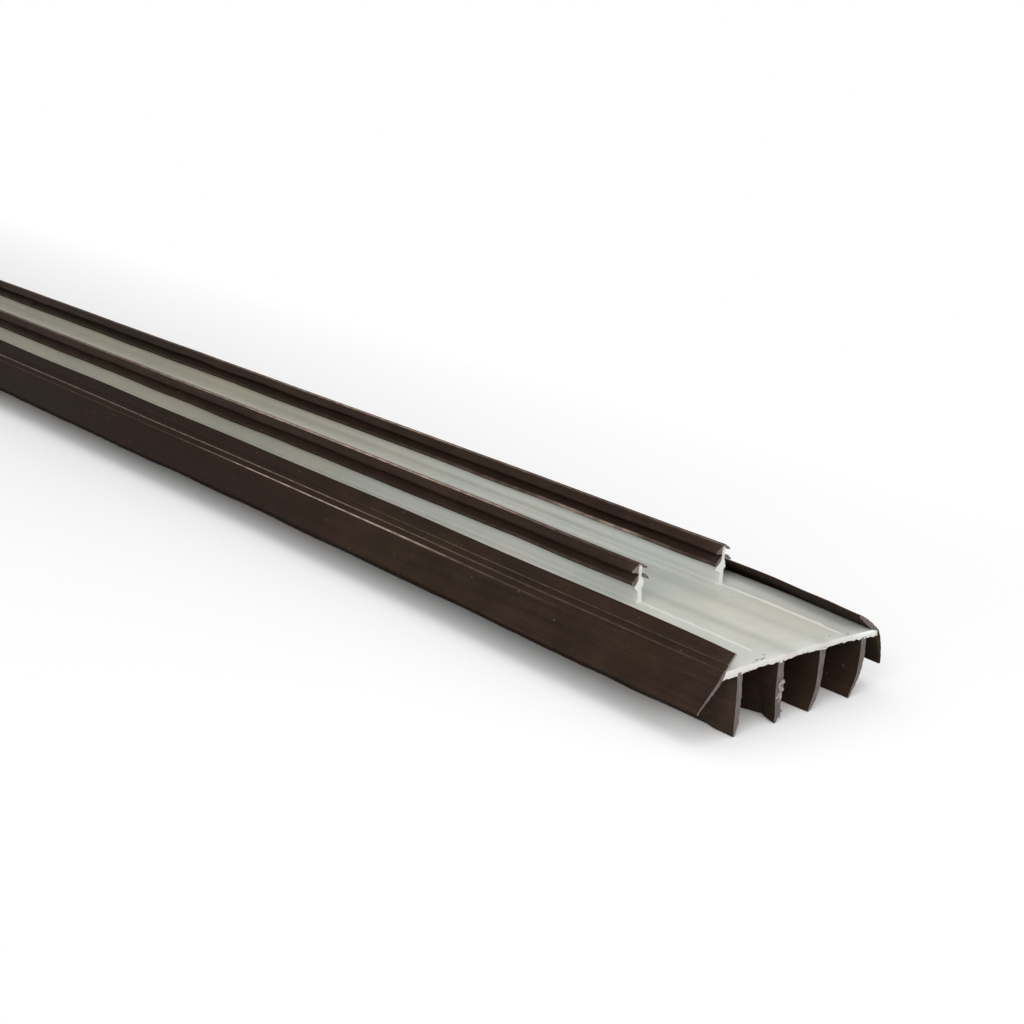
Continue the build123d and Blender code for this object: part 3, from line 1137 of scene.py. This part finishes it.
def build_front_flap(scene):
    """Build the soft panel on the front edge, with its lip, bead, groove and drip flap."""
    sizes, strip = in_mm(scene.sweep_front), in_mm(scene.sweep_strip)
    lean = scene.sweep_front.lean
    bead_out = sizes.skin + sizes.bead_height
    groove_out = sizes.skin - sizes.groove_depth
    groove_top = sizes.bead_top + sizes.groove_width
    rib_peak = groove_top + sizes.rib_width / 2
    outer = [
        (-sizes.flap_reach, sizes.skin - sizes.flap_edge),
        (-sizes.flap_reach, sizes.skin),
        (-sizes.bead_drop - sizes.rib_width, sizes.skin),
        (-sizes.bead_drop, bead_out),
        (sizes.bead_top, bead_out),
        (sizes.bead_top + sizes.rib_width, groove_out),
        (groove_top, groove_out),
        (rib_peak, sizes.skin + sizes.rib_height),
        (groove_top + sizes.rib_width, sizes.skin),
        (sizes.lip_reach, sizes.skin),
        (sizes.lip_reach, sizes.skin - sizes.lip_edge),
    ]
    outline = [panel_point(along, out, lean) for along, out in outer]
    outline += [
        panel_at_height(strip.plate_thickness, sizes.skin - sizes.lip_thickness, lean),
        panel_at_height(strip.plate_thickness, 0, lean),
        panel_point(0, 0, lean),
        panel_at_height(0, sizes.skin - sizes.flap_thickness, lean),
    ]
    up_panel = Vector((0, sin(lean), cos(lean)))
    out_of_panel = Vector((0, -cos(lean), sin(lean)))
    corner = Vector((0, front_face, plate_under))

    def wavy(point):
        along = (Vector((0, point.y, point.z)) - corner).dot(up_panel)
        lip = max(0.0, along - rib_peak) / (sizes.lip_reach - rib_peak)
        flap = max(0.0, -along - FLAP_START) / (sizes.flap_reach - FLAP_START)
        by_cut = exp(-(half_length - point.x) / KNIFE_REACH)
        stretch = (wave(point.x, "front lip stretch") - LIP_DRAWN_BACK * by_cut) * lip
        stretch -= (wave(point.x, "front flap stretch") - FLAP_DRAWN_BACK * by_cut) * flap
        swing = wave(point.x, "front lip swing") * lip + wave(point.x, "front flap swing") * flap * flap
        slant = Vector(((LIP_SLANT * lip - FLAP_SLANT * flap) * by_cut, 0, 0))
        return point + up_panel * stretch + out_of_panel * swing + slant

    ridges = (
        (rib_peak, *RIB_HIGHLIGHT),
        (sizes.bead_top, *BEAD_TOP_HIGHLIGHT),
        (-sizes.bead_drop, *BEAD_FOOT_HIGHLIGHT),
    )

    def toned(point):
        offset = Vector((0, point.y, point.z)) - corner
        along, out = offset.dot(up_panel), offset.dot(out_of_panel)
        from_end = half_length - point.x
        if out < groove_out - BACK_MARGIN:
            return LIP_CUT_TONE * exp(-from_end / LIP_CUT_FADE) if along > sizes.bead_top else 0.0
        parts = [(keyed(keys, from_end), (along - place) / width) for place, width, keys in ridges]
        scuffed = SCUFF_AND_FIN_LIGHT * exp(-from_end / SCUFF_REACH) if along > 0 else 0.0
        paler = max(scuffed, *(pale * exp(-distance ** 2) for pale, distance in parts))
        # Painted shade darkens the panel away from the near end, except under the painted highlights
        return paler - keyed(PANEL_PAINTED_SHADE, from_end) * exp(-SHADE_UNDER_HIGHLIGHT * paler)

    form = bmesh.new()
    carry_drawn(form, "front flap", outline, half_length, wavy, toned)
    return add_soft_piece(form, "front_flap", scene.sweep_finish)


# How the rear lip stands more upright, and higher, away from the end, as (distance from the end,
# millimetres), and how much of this its inner root follows, as (height above the plate's top, share)
LIP_UPRIGHT = [(0, 0.0), (12, 0.3), (35, 1.6)]
LIP_HIGHER = [(0, 0.0), (10, 0.25), (20, 0.3), (35, 0.0)]
ROOT_FOLLOWS = 0.95
ROOT_HEIGHTS = [(-0.1, 0), (0, 1)]
ROOT_INSET = 0.3


def build_rear_flap(scene):
    """Build the soft lip and flap on the rear edge."""
    sizes, strip = in_mm(scene.sweep_rear), in_mm(scene.sweep_strip)
    top = top_of(strip)
    plate_rear = strip_high.y
    rear_face = plate_rear + sizes.skin
    lip_tip = Vector((rear_face - sizes.lip_overhang, top + sizes.lip_rise))
    lip_back = Vector((rear_face, top - sizes.corner_drop))
    run = (lip_back - lip_tip).normalized()
    out = Vector((-run.y, run.x))
    lip_middle = (lip_tip + lip_back) / 2 + out * sizes.lip_bulge
    flap_height = plate_under + strip.plate_thickness / 2 - sizes.flap_drop
    flap_tip = Vector((rear_face + sizes.flap_flare, flap_height))
    inner_tip = flap_tip - Vector((sizes.flap_edge, 0))
    inner_root = Vector((rear_face - sizes.flap_root, plate_under))
    bulge = Vector((sizes.flap_bulge, 0))
    outline = arc(lip_tip, lip_middle, lip_back, ARC_STEPS)
    outline += arc(lip_back, (lip_back + flap_tip) / 2 + bulge, flap_tip, ARC_STEPS)
    outline += [flap_tip] + arc(inner_tip, (inner_tip + inner_root) / 2 + bulge, inner_root, ARC_STEPS)
    outline += [
        inner_root,
        Vector((plate_rear, plate_under)),
        Vector((plate_rear, top - strip.edge_bevel)),
        Vector((rear_face - sizes.lip_root, top)),
        lip_tip - out * sizes.lip_edge,
    ]

    def wavy(point):
        lip = max(0.0, point.z - top) / sizes.lip_rise
        flap = max(0.0, plate_under - point.z) / sizes.flap_drop
        point.y += wave(point.x, "rear lip swing") * lip + wave(point.x, "rear flap swing") * flap
        point.z += wave(point.x, "rear lip rise") * lip + wave(point.x, "rear flap rise") * flap
        depth = depth_of(point)
        inner = keyed(ROOT_HEIGHTS, point.z - top) if point.y < plate_rear - ROOT_INSET else 0.0
        point.y += keyed(LIP_UPRIGHT, depth) * max(lip, ROOT_FOLLOWS * inner)
        point.z += keyed(LIP_HIGHER, depth) * lip
        return point

    form = bmesh.new()
    carry_drawn(form, "rear flap", outline, half_length, wavy)
    # Below the plate the cut face is as dark as the skin
    for face in form.faces:
        if face.material_index == 1 and face.calc_center_median().z < plate_under * MM:
            face.material_index = 0
    return add_soft_piece(form, "rear_flap", scene.sweep_finish)


# Soft fins, as they are at the cut end in the photograph. For each one: points down its front face
# and down its rear face, as (distance to the rear of its root, height), and how its tip wanders
# close to that end, as (distance from the end, shift to the rear)
FINS = {
    "fin_1": (
        ((-0.25, 12.5), (-0.06, 9.3), (0.11, 5.4), (0.15, 1.6), (0.17, 0.1)),
        ((1.0, 12.5), (1.3, 7.1), (1.33, 5.1), (1.2, 2.5), (0.85, 0.9), (0.4, 0.0)),
        ((0, 0.0), (4.4, 0.0), (7, 0.55), (12, 0.6), (26, 0.0)),
    ),
    "fin_2": (
        ((-1.0, 12.5), (-0.87, 6.8), (-0.55, 3.8), (-0.3, 1.4), (-0.25, 0.1)),
        ((0.5, 12.5), (0.85, 8.4), (0.85, 6.4), (0.9, 3.5), (0.75, 1.6), (0.0, 0.0)),
        ((0, -0.1), (1.1, 0.05), (2.8, 0.65), (4.4, 1.4), (6.3, 0.75), (8.3, 0.1), (15, 0.3), (25, 0.0)),
    ),
    "fin_3": (
        ((-1.0, 12.5), (-0.85, 9.5), (-0.9, 7.1), (-1.15, 4.2), (-2.3, 0.9), (-2.65, 0.1)),
        ((0.65, 12.5), (0.6, 9.0), (0.5, 6.8), (0.05, 3.9), (-0.75, 2.0), (-2.3, 0.0)),
        ((0, 0.0), (4, -0.2), (18, 0.0)),
    ),
    "fin_4": (
        ((-0.4, 12.5), (-0.25, 8.5), (-0.65, 4.4), (-2.1, 1.2), (-2.5, 0.15)),
        ((1.05, 12.5), (1.25, 8.2), (0.5, 4.6), (-0.8, 2.3), (-2.2, 0.0)),
        ((0, 0.0), (8, 0.1), (24, 0.0)),
    ),
}

# How far from the near end a fin's own waves set in, and how they grow towards its tip
FIN_WAVE_START = 26
TIP_BIAS = 1.6

# The fin that is painted a little paler all along, as painted light, and the one that the blade tore,
# with the crumbs on its rear edge, pale ones above and dark ones below, as (how many, heights, distances
# to the rear of the fin's root at no height, how much these grow with height, share that is of torn
# vinyl), and their sizes
PAINTED_LIGHT_FIN = "fin_1"
TORN_FIN = "fin_2"
TORN_SEED = 5
CRUMBS = (
    (26, (4.5, 8.0), (-1.1, 0.0), 0.14, 0.75),
    (6, (0.9, 2.3), (0.0, 0.35), 0.35, 0.0),
)
CRUMB_SIZES = ((0.1, 0.22), (0.2, 0.4), (0.2, 0.5))
CRUMB_DEPTH = 0.06


def build_fin(scene, name):
    """Build one soft fin, with the bend and the tapered tip that it has in the photograph."""
    sizes, look = in_mm(scene.sweep_fins), scene.sweep_finish
    front, rear, wander = FINS[name]
    number = list(FINS).index(name)
    root = Vector((fin_place(name, sizes), 0))
    outline = []
    for side in (front, rear[::-1]):
        points = [root + Vector(point) for point in side]
        outline += smooth(points, 3) + [points[-1]]

    def wavy(point):
        depth = max(0.0, 1 - point.z / plate_under)
        from_end = half_length - point.x
        swing = wave(point.x, "fin, long", number) + wave(point.x, "fin, short", number)
        swing *= sizes.wave * min(1.0, from_end / FIN_WAVE_START)
        point.y += (keyed(wander, from_end) + swing) * depth ** TIP_BIAS
        return point

    form = bmesh.new()
    # Painted light: one fin's skin painted a little paler all along
    fin_light = SCUFF_AND_FIN_LIGHT if name == PAINTED_LIGHT_FIN else 0.0
    carry_drawn(form, "fin", outline, half_length, wavy, lambda point: fin_light)
    if name == TORN_FIN:
        add_torn_edge(form, root.x)
    return add_soft_piece(form, name, look, torn_vinyl(look))


def add_torn_edge(form, place):
    """Crumbs on the rear edge of the fin that the blade tore."""
    chance = Random(TORN_SEED)
    for count, heights, distances, growth, torn_share in CRUMBS:
        for _ in range(count):
            up = chance.uniform(*heights)
            aside = chance.uniform(*distances) + growth * up
            along = half_length + chance.uniform(-CRUMB_DEPTH, CRUMB_DEPTH)
            size = Vector([chance.uniform(*sides) for sides in CRUMB_SIZES])
            material = 2 if torn_share and chance.random() < torn_share else 1
            crumb(form, Vector((along, place + aside, up)), size, chance, material)


# Soft caps and barbs

# Painted highlights where the soft vinyl on a leg is worn, along the cap's crest and along the tips of
# the lower barbs, as (distance from the end, how pale)
WORN_HIGHLIGHTS = {
    "front_leg": (
        [(40, 0.1), (60, 0.25), (80, 0.8), (110, 1.0), (150, 1.0), (190, 0.7), (250, 0.4)],
        [(40, 0.1), (100, 0.03)],
    ),
    "rear_leg": (
        [(33, 0.3), (60, 0.2), (110, 0.35), (130, 0.6), (150, 0.8), (180, 0.6), (250, 0.2)],
        [(40, 0.1), (52, 0.2), (60, 0.6), (76, 0.6), (90, 0.2), (150, 0.05)],
    ),
}

# The place across the leg of the crest's painted highlight, its half width and its depth, and the width
# of a barb's worn tip that carries a painted highlight
CREST_PLACE = 0.32
CREST_WIDTH = 0.15
CREST_DEPTH = 0.45
WORN_HIGHLIT_TIP = 0.2

# How pale the front cap's front half is painted at the cut, a painted highlight of the cut face catching
# light, which reaches this far
CAP_CUT_LIGHT = 0.3
AT_CUT = 0.01

# Where the front barb's outline passes: how far its tip slants, and how far it stays inside and above
# the leg's shoulder
BARB_TIP_SLANT = 0.15
ON_SHOULDER = (0.1, 0.05)

# Where the rear barb's outline passes: how far its back arches up and out, how far its tip is cut
# back and down, and how far it is hollowed below
BARB_ARCH = (0.1, 0.25)
BARB_TIP_CUT = (0.1, 0.3)
BARB_HOLLOW = 0.45
CROWN_GAP = 0.02


def leg_half_width(height, strip, barbs):
    """Half the width of a kerf leg at a height above the plate, between its neck and its crown."""
    shoulder = leg_top - barbs.cap_skin - strip.crown_depth - top_of(strip)
    rise = (height - strip.neck_height) / (shoulder - strip.neck_height)
    return (strip.neck_width + (strip.crown_width - strip.neck_width) * rise) / 2


def cap_shape(strip, barbs, leg):
    """Outline of a leg's cap, as (distance to the rear of the leg, height above the plate)."""
    height = leg_top - top_of(strip)
    front_root = strip.neck_height + barbs.root + barbs.gap
    rear_root = height - barbs.cap_rear_root
    front_tip, rear_tip = height - barbs.cap_front_droop, height - barbs.cap_rear_droop
    core_top = height - barbs.cap_skin
    return [
        (-leg_half_width(front_root, strip, barbs) + OVERLAP, front_root),
        (-barbs.cap_front_reach, front_tip - barbs.tip_thickness),
        (-barbs.cap_front_reach, front_tip),
        (-barbs.cap_width / 2, height - barbs.cap_depth),
        (-barbs.cap_width / 4, height - barbs.cap_depth / 4),
        (0, height),
        (barbs.cap_width / 4, height - barbs.cap_depth / 4),
        (barbs.cap_width / 2, height - barbs.cap_depth),
        (barbs.cap_rear_reach, rear_tip),
        (barbs.cap_rear_reach, rear_tip - barbs.tip_thickness),
        (leg_half_width(rear_root, strip, barbs) - OVERLAP, rear_root),
        (strip.crown_width / 2 - OVERLAP, core_top - strip.crown_depth - CROWN_GAP),
        (0, core_top - OVERLAP),
        (-strip.crown_width / 2 + OVERLAP, core_top - strip.crown_depth - CROWN_GAP),
    ]


def front_barb_shape(strip, barbs, leg):
    """Outline of a leg's lower front barb, which lies on the shoulder of that leg."""
    root_top = strip.neck_height + barbs.root
    root_out = leg_half_width(root_top, strip, barbs) - OVERLAP
    tip = root_top - barbs.front_droop
    under, neck = SHOULDERS[leg][0][2:]
    return [
        (-root_out, root_top),
        (-barbs.front_reach, tip),
        (-barbs.front_reach + BARB_TIP_SLANT, tip - barbs.lower_tip),
        (-under[0] + ON_SHOULDER[0], under[1] + ON_SHOULDER[1]),
        (-neck[0] + OVERLAP, neck[1]),
    ]


def rear_barb_shape(strip, barbs, leg):
    """Outline of a leg's lower rear barb, the same on both legs."""
    root_top = strip.neck_height + barbs.root
    root_out = leg_half_width(root_top, strip, barbs) - OVERLAP
    tip = root_top - barbs.rear_droop
    middle, middle_height = (root_out + barbs.rear_reach) / 2, (root_top + tip) / 2
    return [
        (root_out, root_top),
        (middle + BARB_ARCH[0], middle_height + BARB_ARCH[1]),
        (barbs.rear_reach, tip),
        (barbs.rear_reach - BARB_TIP_CUT[0], tip - BARB_TIP_CUT[1]),
        (middle, middle_height - BARB_HOLLOW),
        (strip.neck_width / 2, strip.neck_height - barbs.lower_root),
    ]


# What draws each soft piece of a leg, and how far apart the waves of the two legs' pieces are
LEG_VINYL = {"cap": cap_shape, "front_barb": front_barb_shape, "rear_barb": rear_barb_shape}
LEG_SHIFT = 10


def build_leg_vinyl(scene, leg, name):
    """Build the cap of one kerf leg, or one of the two barbs below it."""
    strip, barbs = in_mm(scene.sweep_strip), in_mm(scene.sweep_barbs)
    place = leg_place(leg, barbs)
    top = top_of(strip)
    shift = LEG_SHIFT * KERF_LEGS.index(leg) + list(LEG_VINYL).index(name)
    crest_keys, barb_keys = WORN_HIGHLIGHTS[leg]

    def wavy(point):
        reach = abs(point.y - place) / barbs.rear_reach
        point.z += wave(point.x, "barb rise", shift) * reach * reach
        point.y += wave(point.x, "barb swing", shift) * reach * reach
        point.y += sway(point, leg, top)
        return point

    # Painted highlights on the cap's crest and the barbs' tips, painted light on the front cap's cut and real
    # scuffs by the cut
    def worn_and_highlit(point):
        out = point.y - place
        from_end = half_length - point.x
        if name == "cap" and leg_end - point.x < AT_CUT:
            return CAP_CUT_LIGHT if out < 0 and leg == "front_leg" else 0.0
        if name == "cap" and abs(out) < barbs.cap_width / 2 and point.z > leg_top - CREST_DEPTH:
            return keyed(crest_keys, from_end) * exp(-((out + CREST_PLACE) / CREST_WIDTH) ** 2)
        if name != "cap" and abs(out) > barbs.front_reach - WORN_HIGHLIT_TIP:
            return keyed(barb_keys, from_end)
        return SCUFF_AND_FIN_LIGHT * exp(-(leg_end - point.x) / SCUFF_REACH)

    outline = [Vector((place + across, top + up)) for across, up in LEG_VINYL[name](strip, barbs, leg)]
    form = bmesh.new()
    carry_drawn(form, name, outline, leg_end, wavy, worn_and_highlit)
    return add_soft_piece(form, f"{leg}_{name}", scene.sweep_finish)


# Shavings that stick to the plate by the ends of the stubs: distance from the plate's end, place
# across the strip from the nearest stub, reach, and turn from the strip's length
SHAVINGS = {
    "front_leg": ((0.5, -1.6, 2.0, 104), (0.76, -2.9, 1.9, 100), (1.9, 0.5, 0.5, 60), (0.3, -4.1, 0.6, 80)),
    "rear_leg": ((0.8, 0.0, 0.6, 60), (1.6, -4.2, 0.5, 90), (1.1, 0.7, 0.5, 100)),
}
SHAVING_THICKNESS = 0.24
SHAVING_LIFT = 0.02
SHAVING_RISE = 0.25
SHAVING_DROOP = 0.25


def build_shavings(scene):
    """Build the few brown shavings that stick to the plate at the end in the photograph."""
    strip, barbs = in_mm(scene.sweep_strip), in_mm(scene.sweep_barbs)
    form = bmesh.new()
    for leg, places in SHAVINGS.items():
        for from_end, aside, reach, turn in places:
            up = top_of(strip) + SHAVING_LIFT
            root = Vector((half_length - from_end, leg_place(leg, barbs) + aside, up))
            direction = Vector((cos(radians(turn)), sin(radians(turn)), SHAVING_RISE)).normalized()
            hair(form, root, direction, reach, SHAVING_THICKNESS, SHAVING_DROOP * reach, 0)
    return add_piece("shavings", form, [shaving_vinyl(scene.sweep_finish)], [])


# Stage

def light_strength(name, description, default):
    """A property that holds the strength of a light."""
    return FloatProperty(name=name, description=description, default=default, min=0)


class StageSettings(PropertyGroup):
    """The camera that the photograph was taken with, and the light around the object."""

    camera_place: FloatVectorProperty(
        name="Camera place", description="Where the camera stands", default=(0.63777, -0.23300, 0.12392),
        size=3, subtype="XYZ", unit="LENGTH",
    )
    camera_aim: FloatVectorProperty(
        name="Camera aim", description="The point that the camera looks at",
        default=(0.36444, 0.01035, 0.0135), size=3, subtype="XYZ", unit="LENGTH",
    )
    camera_roll: FloatProperty(
        name="Camera roll", description="How far the camera is rolled", default=radians(3.55), subtype="ANGLE"
    )
    focal_length: FloatProperty(
        name="Focal length", description="Focal length on the sensor, in millimetres", default=59.37, min=1
    )
    sky: light_strength("Sky", "Strength of the light from all round", 0.66)
    key: light_strength("Key", "Strength of the lamp over the near end", 0.14)
    side: light_strength("Side", "Strength of the lamp beside the near end", 0.35)
    front: light_strength("Front", "Strength of the lamp by the camera", 0.32)


# Each lamp's property, its place and its side, in metres
LAMPS = {
    "key_lamp": ("key", (0.55, -0.05, 0.6), 0.3),
    "side_lamp": ("side", (1.1, -0.12, 0.35), 0.4),
    "front_lamp": ("front", (0.75, -0.65, 0.42), 0.4),
}
SENSOR_WIDTH = 36

# How far the floor reaches, and between which distances from the strip it fades to white, in metres
FLOOR_REACH = 12.0
FLOOR_FADE = (0.02, 0.15)


def seen_directly(tree):
    """A mask of the rays that come straight, mirrored or bent from the camera."""
    path = tree.nodes.new("ShaderNodeLightPath")
    direct = calculate(tree, "MAXIMUM", path.outputs["Is Camera Ray"], path.outputs["Is Glossy Ray"])
    return calculate(tree, "MAXIMUM", direct, path.outputs["Is Transmission Ray"])


def build_world(settings):
    """Light from all round, and a white backdrop where it is seen."""
    world = bpy.data.worlds.new("studio")
    world.use_nodes = True
    tree = world.node_tree
    background = tree.nodes["Background"]
    background.inputs["Color"].default_value = (1, 1, 1, 1)
    feed(tree, background, {"Strength": between(tree, seen_directly(tree), settings.sky, 1.0)})
    bpy.context.scene.world = world


def build_floor(look):
    """A pale floor that keeps the object's shadow and fades into the white backdrop."""
    mesh = bpy.data.meshes.new("floor")
    form = bmesh.new()
    bmesh.ops.create_grid(form, x_segments=1, y_segments=1, size=FLOOR_REACH)
    form.to_mesh(mesh)
    form.free()
    material, tree, shader, place = new_material("Floor paper")
    feed(tree, shader, {"Base Color": (*look.floor, 1), "Roughness": 1.0, "Specular IOR Level": 0.0})
    white = put(tree, "ShaderNodeEmission", {"Color": (1, 1, 1, 1), "Strength": 1.0})
    parts = put(tree, "ShaderNodeSeparateXYZ", {0: place})
    along = calculate(tree, "ABSOLUTE", parts.outputs["X"])
    beyond = calculate(tree, "MAXIMUM", calculate(tree, "SUBTRACT", along, half_length * MM), 0.0)
    away = put(tree, "ShaderNodeCombineXYZ", {0: beyond, 1: parts.outputs["Y"]}).outputs[0]
    distance = put(tree, "ShaderNodeVectorMath", {0: away}, operation="LENGTH").outputs["Value"]
    share = calculate(tree, "MULTIPLY", spread(tree, distance, *FLOOR_FADE), seen_directly(tree))
    mixed = put(tree, "ShaderNodeMixShader", {0: share, 1: shader.outputs[0], 2: white.outputs[0]})
    feed(tree, tree.nodes["Material Output"], {"Surface": mixed.outputs[0]})
    mesh.materials.append(material)
    floor = bpy.data.objects.new("floor", mesh)
    bpy.context.scene.collection.objects.link(floor)


def build_lamp(name, level, place, side):
    """A square lamp that lights the near end to the given level."""
    target = Vector((half_length * MM, 0, plate_under * MM))
    direction = target - Vector(place)
    lamp = bpy.data.lights.new(name, "AREA")
    lamp.size = side
    lamp.energy = level * (pi * direction.length) ** 2
    holder = bpy.data.objects.new(name, lamp)
    holder.location = place
    holder.rotation_euler = direction.to_track_quat("-Z", "Y").to_euler()
    bpy.context.scene.collection.objects.link(holder)


def build_camera(settings):
    """The camera at the photograph's place and angle."""
    camera = bpy.data.cameras.new("camera")
    camera.lens = settings.focal_length
    camera.sensor_width = SENSOR_WIDTH
    holder = bpy.data.objects.new("camera", camera)
    place, aim = Vector(settings.camera_place), Vector(settings.camera_aim)
    turn = (aim - place).to_track_quat("-Z", "Y") @ Quaternion((0, 0, 1), settings.camera_roll)
    holder.location = place
    holder.rotation_euler = turn.to_euler()
    bpy.context.scene.collection.objects.link(holder)
    bpy.context.scene.camera = holder


# Operators

class SWEEP_OT_rigid_strip(Operator):
    """Build the rigid plate with its kerf legs"""

    bl_idname = "sweep.rigid_strip"
    bl_label = "Rigid strip"

    def execute(self, context):
        build_rigid_strip(context.scene)
        return {"FINISHED"}


class SWEEP_OT_flaps(Operator):
    """Build the soft flaps along both edges"""

    bl_idname = "sweep.flaps"
    bl_label = "Flaps"

    def execute(self, context):
        build_front_flap(context.scene)
        build_rear_flap(context.scene)
        return {"FINISHED"}


class SWEEP_OT_fins(Operator):
    """Build the four soft fins under the plate"""

    bl_idname = "sweep.fins"
    bl_label = "Fins"

    def execute(self, context):
        for name in FINS:
            build_fin(context.scene, name)
        return {"FINISHED"}


class SWEEP_OT_barbs(Operator):
    """Build the soft caps and barbs on the kerf legs"""

    bl_idname = "sweep.barbs"
    bl_label = "Caps and barbs"

    def execute(self, context):
        for leg in KERF_LEGS:
            for name in LEG_VINYL:
                build_leg_vinyl(context.scene, leg, name)
        return {"FINISHED"}


class SWEEP_OT_shavings(Operator):
    """Build the shavings that stick to the plate"""

    bl_idname = "sweep.shavings"
    bl_label = "Shavings"

    def execute(self, context):
        build_shavings(context.scene)
        return {"FINISHED"}


class SWEEP_OT_stage(Operator):
    """Build the floor, the light and the camera"""

    bl_idname = "sweep.stage"
    bl_label = "Stage"

    def execute(self, context):
        settings = context.scene.sweep_stage
        build_world(settings)
        build_floor(context.scene.sweep_finish)
        for name, (level, place, side) in LAMPS.items():
            build_lamp(name, getattr(settings, level), place, side)
        build_camera(settings)
        context.scene.view_settings.view_transform = "Standard"
        return {"FINISHED"}


class SWEEP_PT_panel(Panel):
    """Lists the steps that build the door sweep"""

    bl_idname = "SWEEP_PT_panel"
    bl_label = "Door sweep"
    bl_space_type = "VIEW_3D"
    bl_region_type = "UI"
    bl_category = "Door sweep"

    def draw(self, context):
        for operator in OPERATORS:
            self.layout.operator(operator.bl_idname)
        for name, (group, label) in GROUPS.items():
            box = self.layout.box()
            box.label(text=label)
            for key in group.__annotations__:
                box.prop(getattr(context.scene, name), key)


GROUPS = {
    "sweep_strip": (RigidStripSizes, "Rigid strip"),
    "sweep_front": (FrontFlapSizes, "Front flap"),
    "sweep_rear": (RearFlapSizes, "Rear flap"),
    "sweep_fins": (FinSizes, "Fins"),
    "sweep_barbs": (BarbSizes, "Caps and barbs"),
    "sweep_finish": (Finish, "Colours"),
    "sweep_stage": (StageSettings, "Stage"),
}
OPERATORS = (
    SWEEP_OT_rigid_strip,
    SWEEP_OT_flaps,
    SWEEP_OT_fins,
    SWEEP_OT_barbs,
    SWEEP_OT_shavings,
    SWEEP_OT_stage,
)


def register():
    """Register the property groups, the operators and the panel."""
    for name, (group, label) in GROUPS.items():
        bpy.utils.register_class(group)
        setattr(bpy.types.Scene, name, PointerProperty(name=label, type=group))
    for cls in (*OPERATORS, SWEEP_PT_panel):
        bpy.utils.register_class(cls)


def unregister():
    """Take away all that register added."""
    for cls in (SWEEP_PT_panel, *reversed(OPERATORS)):
        bpy.utils.unregister_class(cls)
    for name, (group, _) in GROUPS.items():
        delattr(bpy.types.Scene, name)
        bpy.utils.unregister_class(group)


def main():
    """Build the whole object and its stage."""
    register()
    bpy.ops.sweep.rigid_strip()
    bpy.ops.sweep.flaps()
    bpy.ops.sweep.fins()
    bpy.ops.sweep.barbs()
    bpy.ops.sweep.shavings()
    bpy.ops.sweep.stage()


if __name__ == "__main__":
    main()
